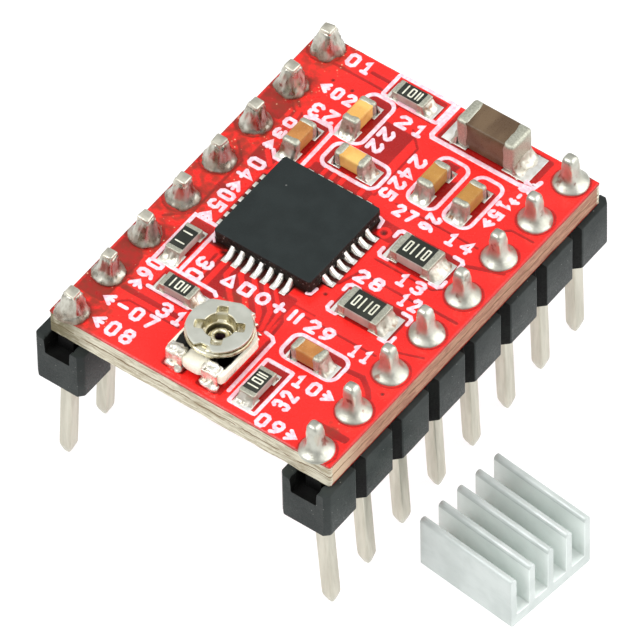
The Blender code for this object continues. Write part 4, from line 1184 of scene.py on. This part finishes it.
def trimmer_eyelet():
    """Rolled tube at the rotor's axis, its bore and the disc closing it painted dark as painted shade."""
    profile = [(0.0, 0.14), (0.19, 0.14), (0.2, 0.2), (0.203, 0.4), (0.205, 0.62), (0.225, 0.72),
               (0.26, 0.775), (0.31, 0.795), (0.37, 0.785), (0.42, 0.755), (0.445, 0.73), (0.44, 0.712),
               (0.4, 0.708), (0.32, 0.708), (0.3, 0.6), (0.3, 0.07), (0.0, 0.07)]
    points, faces = roughen(lathe(profile, 48), 0.018, 0.22, 5)
    shape = Shape()
    # Faces below the flange, the bore's walls and the disc closing it, take the painted shade
    shape.add((points, faces), [int(max(points[i].z for i in face) < 0.66) for face in faces], AT_AXIS)
    shape.piece("eyelet", [DRAWN_STEEL, BORE_PAINTED_SHADE], "trimmer_eyelet", angle=70)


def slot_radius(a):
    """Inner edge of the rotor's plate: a round opening with four arms for the screwdriver."""
    opening, arm_end, arm_half = 0.67, 1.04, 0.235
    offset = (a - math.radians(28) + math.pi / 4) % (math.pi / 2) - math.pi / 4
    return max(opening, min(arm_end, arm_half / max(abs(math.sin(offset)), 1e-4)))


def rim_radius(a):
    """Outer edge of the plate: round, with straight places at the rear left and a stop notch in front."""
    degrees = (math.degrees(a) + 180) % 360 - 180
    radius = 1.42
    if 83 < degrees < 144:
        radius = min(1.5, 1.37 / math.cos(math.radians(degrees - 113)))
    elif 60 < degrees <= 83:
        radius = 1.5
    elif 144 <= degrees < 150:
        radius = 1.47
    from_notch = min(1.0, abs(degrees + 84.5) / 15.5)
    return radius - 0.27 * (1 - from_notch ** 6)


def trimmer_rotor():
    """Slotted plate, dished hub and under-ring as one pressing, with its stop lug folded down."""
    count = 288
    turn = np.arange(count) * math.tau / count

    def softened(radius_of):
        sharp = np.array([radius_of(a) for a in turn])
        return sum(np.roll(sharp, k) for k in range(-2, 3)) / 5

    slot = softened(slot_radius)
    edge = softened(rim_radius)
    arm = np.minimum(1.0, (slot - 0.67) / 0.37)
    wavy = np.array([0.02 * noise.noise(Vector((math.cos(a) * 3, math.sin(a) * 3, 4))) for a in turn])
    # Radius and height of each ring: up inside the hub, over the plate, then the under-ring and back
    rows = [(0.345, 0.48), (0.345, 0.5), (0.36, 0.51), (0.54, 0.51), (0.57, 0.53), (0.58, 0.6), (0.585, 0.86),
            (0.595, 0.89), (0.61, 0.9), (0.65, 0.9)]
    rows += [(0.665 + (slot - 0.05 * arm - 0.665) * part,
              0.91 + (0.2 + 0.1 * arm) * part ** (0.7 + 1.1 * arm)) for part in (0.15, 0.4, 0.65, 0.85, 1.0)]
    rows += [(slot - 0.02 * arm, 1.27), (slot + 0.004, 1.36), (slot + 0.018, 1.39)]
    plate_start = len(rows)
    rows += [(slot + 0.04 + (edge - slot - 0.085) * part, 1.4) for part in (0, 0.12, 0.3, 0.5, 0.7, 0.88, 1)]
    rows += [(edge - 0.012, 1.388), (edge, 1.36)]
    plate_end = len(rows) - 1
    lip = np.minimum(edge - 0.09, 1.34)
    rows += [(edge - 0.003, 1.285), (edge - 0.03, 1.265), (lip, 1.26), (lip, 1.225 + wavy)]
    rows += [(radius, height + wavy) for radius, height in
             ((1.4, 1.222), (1.46, 1.21), (1.478, 1.185), (1.48, 1.14), (1.44, 1.125), (1.44, 1.11),
              (1.476, 1.095))]
    rows += [(1.475, 1.055), (1.45, 1.04), (1.32, 1.04), (1.3, 1.06), (1.28, 1.2), (0.78, 1.24), (0.74, 1.2),
             (0.72, 0.86), (0.68, 0.82), (0.66, 0.6), (0.64, 0.48), (0.345, 0.48)]
    rings = [list(zip(radius * np.cos(turn), radius * np.sin(turn), height + 0 * turn))
             for radius, height in rows]
    points, faces = loft(rings, True, (False, False))
    shape = Shape()
    kinds = [int(not plate_start <= face[0] // count < plate_end) for face in faces]
    shape.add((points, faces), kinds, AT_AXIS)

    lug = []
    for r, z in ((1.1, 1.375), (1.26, 1.37), (1.38, 1.33), (1.45, 1.24), (1.475, 1.12), (1.47, 1.0),
                 (1.44, 0.93)):
        half = 0.17 + 0.03 * (1.4 - z)
        lug.append([(r - 0.05, -half, z - 0.04), (r - 0.05, half, z - 0.04), (r, half, z - 0.01),
                    (r + 0.015, 0.6 * half, z + 0.01), (r + 0.015, -0.6 * half, z + 0.01),
                    (r, -half, z - 0.01)])
    dense = [[Vector(p).lerp(Vector(q), k / 3) for p, q in zip(a, b)]
             for a, b in zip(lug, lug[1:]) for k in range(3)]
    dense.append(lug[-1])
    shape.add(roughen(loft(dense), 0.035, 0.2, 9), 1, AT_AXIS @ Matrix.Rotation(math.radians(-70), 4, "Z"))
    shape.piece("rotor", [PLATE_STEEL, DRAWN_STEEL], "trimmer_rotor", "trimmer_rotor",
                angle=45)


trimmer_base()
trimmer_film()
trimmer_terminals()
trimmer_eyelet()
trimmer_rotor()
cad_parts["trimmer_wiper"].data.materials[0] = DRAWN_STEEL

# ----------------------------------------------------------------------------------- heatsink

HEATSINK_YAW = math.radians(-6.3)
HEATSINK_LENGTH = 5.12
HEATSINK_WIDTH = 4.9
FINS = 5
FIN_HALF = 0.18
FLOOR = 0.62                    # height of the channels between the fins
ROOT = 0.07                     # radius at the foot of a fin


def heatsink():
    """Extrusion with round-topped fins, its channels painted paler as painted light."""
    low, high, middle = box_mm("heatsink")
    top = high.z
    half = HEATSINK_WIDTH / 2
    pitch = (HEATSINK_WIDTH - 2 * FIN_HALF) / (FINS - 1)
    foot = ((ROOT, FLOOR), (0.3 * ROOT, FLOOR + 0.25 * ROOT), (0, FLOOR + ROOT))
    base = [(half - 0.12, 0.0), (half - 0.03, 0.06), (half, 0.13)]
    section = list(base)
    for fin in reversed(range(FINS)):
        y = -half + FIN_HALF + fin * pitch
        if fin < FINS - 1:
            section += [(y + FIN_HALF + out, z) for out, z in foot]
        section += [(y + FIN_HALF * math.cos(a), top - FIN_HALF + FIN_HALF * math.sin(a))
                    for a in (math.pi * k / 10 for k in range(11))]
        if fin > 0:
            section += [(y - FIN_HALF - out, z) for out, z in reversed(foot)]
    section += [(-y, z) for y, z in reversed(base)]

    def slice_at(x, inset):
        row = []
        for i, (y, z) in enumerate(section):
            before, after = section[i - 1], section[(i + 1) % len(section)]
            to = Vector((after[0] - before[0], after[1] - before[1])).normalized()
            row.append((x, y - to.y * inset, z + to.x * inset))
        return row

    end = HEATSINK_LENGTH / 2
    broken = [(-end, 0.03), (-end + 0.01, 0.012)]
    stations = broken + [(-end + 0.03 + (2 * end - 0.06) * i / 20, 0.0) for i in range(21)]
    stations += [(-x, inset) for x, inset in reversed(broken)]
    points, faces = loft([slice_at(x, inset) for x, inset in stations])
    kinds = []
    for face in faces:
        mid = sum((Vector(points[i]) for i in face), Vector()) / len(face)
        # Fin walls and channel floors take the paler copy: painted light
        between = abs(mid.y) < half - 0.1 and FLOOR - 0.1 < mid.z < top - FIN_HALF
        kinds.append(int(between and len(face) == 4))
    shape = Shape()
    shape.add((points, faces), kinds, turn_about(middle.x, middle.y, HEATSINK_YAW))
    shape.piece("heatsink_body", [ALUMINIUM, CHANNEL_PAINTED_LIGHT], "heatsink", "heatsink",
                crisp=True, angle=35)


heatsink()

# ------------------------------------------------------------------------------------- studio


def studio_floor():
    paint = Paint("studio_floor", 0.9)
    paint.base = paint.mix(paint.noise(0.02, 2.0), (0.22, 0.22, 0.22), (0.25, 0.25, 0.25))
    paint.shader["Emission Color"].default_value = (1, 1, 1, 1)
    paint.shader["Emission Strength"].default_value = 0.9
    mesh = bpy.data.meshes.new("floor")
    reach = 3.0
    corners = [(reach * x, reach * y, 0) for x, y in ((-1, -1), (1, -1), (1, 1), (-1, 1))]
    mesh.from_pydata(corners, [], [(0, 1, 2, 3)])
    mesh.materials.append(paint.finish(0.9))
    ground = add_object("floor", mesh)
    ground.location.z = -0.00005


def studio_light():
    """A dim tent with three soft boxes, and two soft suns."""
    world = bpy.data.worlds.new("studio")
    bpy.context.scene.world = world
    world.use_nodes = True
    nodes = Nodes(world.node_tree)
    direction = nodes.node("TexCoord", "Generated", {})
    total = 0.45
    # Direction of each soft box, cosine where it fades out and in, and strength
    for way, low, high, power in (((0.0, 0.0, 1.0), 0.1, 0.9, 0.35), ((0.72, 0.53, 0.45), 0.72, 0.92, 1.7),
                                  ((-0.7, -0.3, 0.6), 0.6, 0.85, 0.35)):
        towards = {0: direction, 1: Vector(way).normalized()}
        cosine = nodes.node("VectorMath", "Value", towards, operation="DOT_PRODUCT")
        total = nodes.math("ADD", nodes.span(cosine, low, high, 0.0, power), total)
    background = world.node_tree.nodes["Background"].inputs
    nodes.put(background["Color"], (1, 1, 1))
    nodes.put(background["Strength"], total)
    for name, energy, spread, tilt, turn in (("key", 1.3, 30, 38, -35), ("fill", 0.5, 60, 50, 120)):
        lamp = bpy.data.lights.new(name, "SUN")
        lamp.energy = energy
        lamp.angle = math.radians(spread)
        add_object(name, lamp).rotation_euler = (math.radians(tilt), 0, math.radians(turn))


def camera():
    """Long lens from above the near right corner."""
    azimuth, elevation, roll = math.radians(37.5), math.radians(50.2), math.radians(-1.3)
    distance = 559.0
    view_width = 26.6
    back = Vector((math.sin(azimuth) * math.cos(elevation), -math.cos(azimuth) * math.cos(elevation),
                   math.sin(elevation)))
    right = Vector((0, 0, 1)).cross(back).normalized()
    up = back.cross(right)
    right, up = math.cos(roll) * right + math.sin(roll) * up, -math.sin(roll) * right + math.cos(roll) * up
    aim = Vector((0, 0, TOP)) - 0.09 * right - 3.07 * up
    place = (aim + back * distance) * MM
    lens = bpy.data.cameras.new("camera")
    lens.sensor_width = 36
    lens.lens = distance / view_width * lens.sensor_width
    view = add_object("camera", lens)
    view.matrix_world = Matrix(((right.x, up.x, back.x, place.x), (right.y, up.y, back.y, place.y),
                                (right.z, up.z, back.z, place.z), (0, 0, 0, 1)))
    bpy.context.scene.camera = view


studio_floor()
studio_light()
camera()
bpy.context.scene.view_settings.view_transform = "Standard"
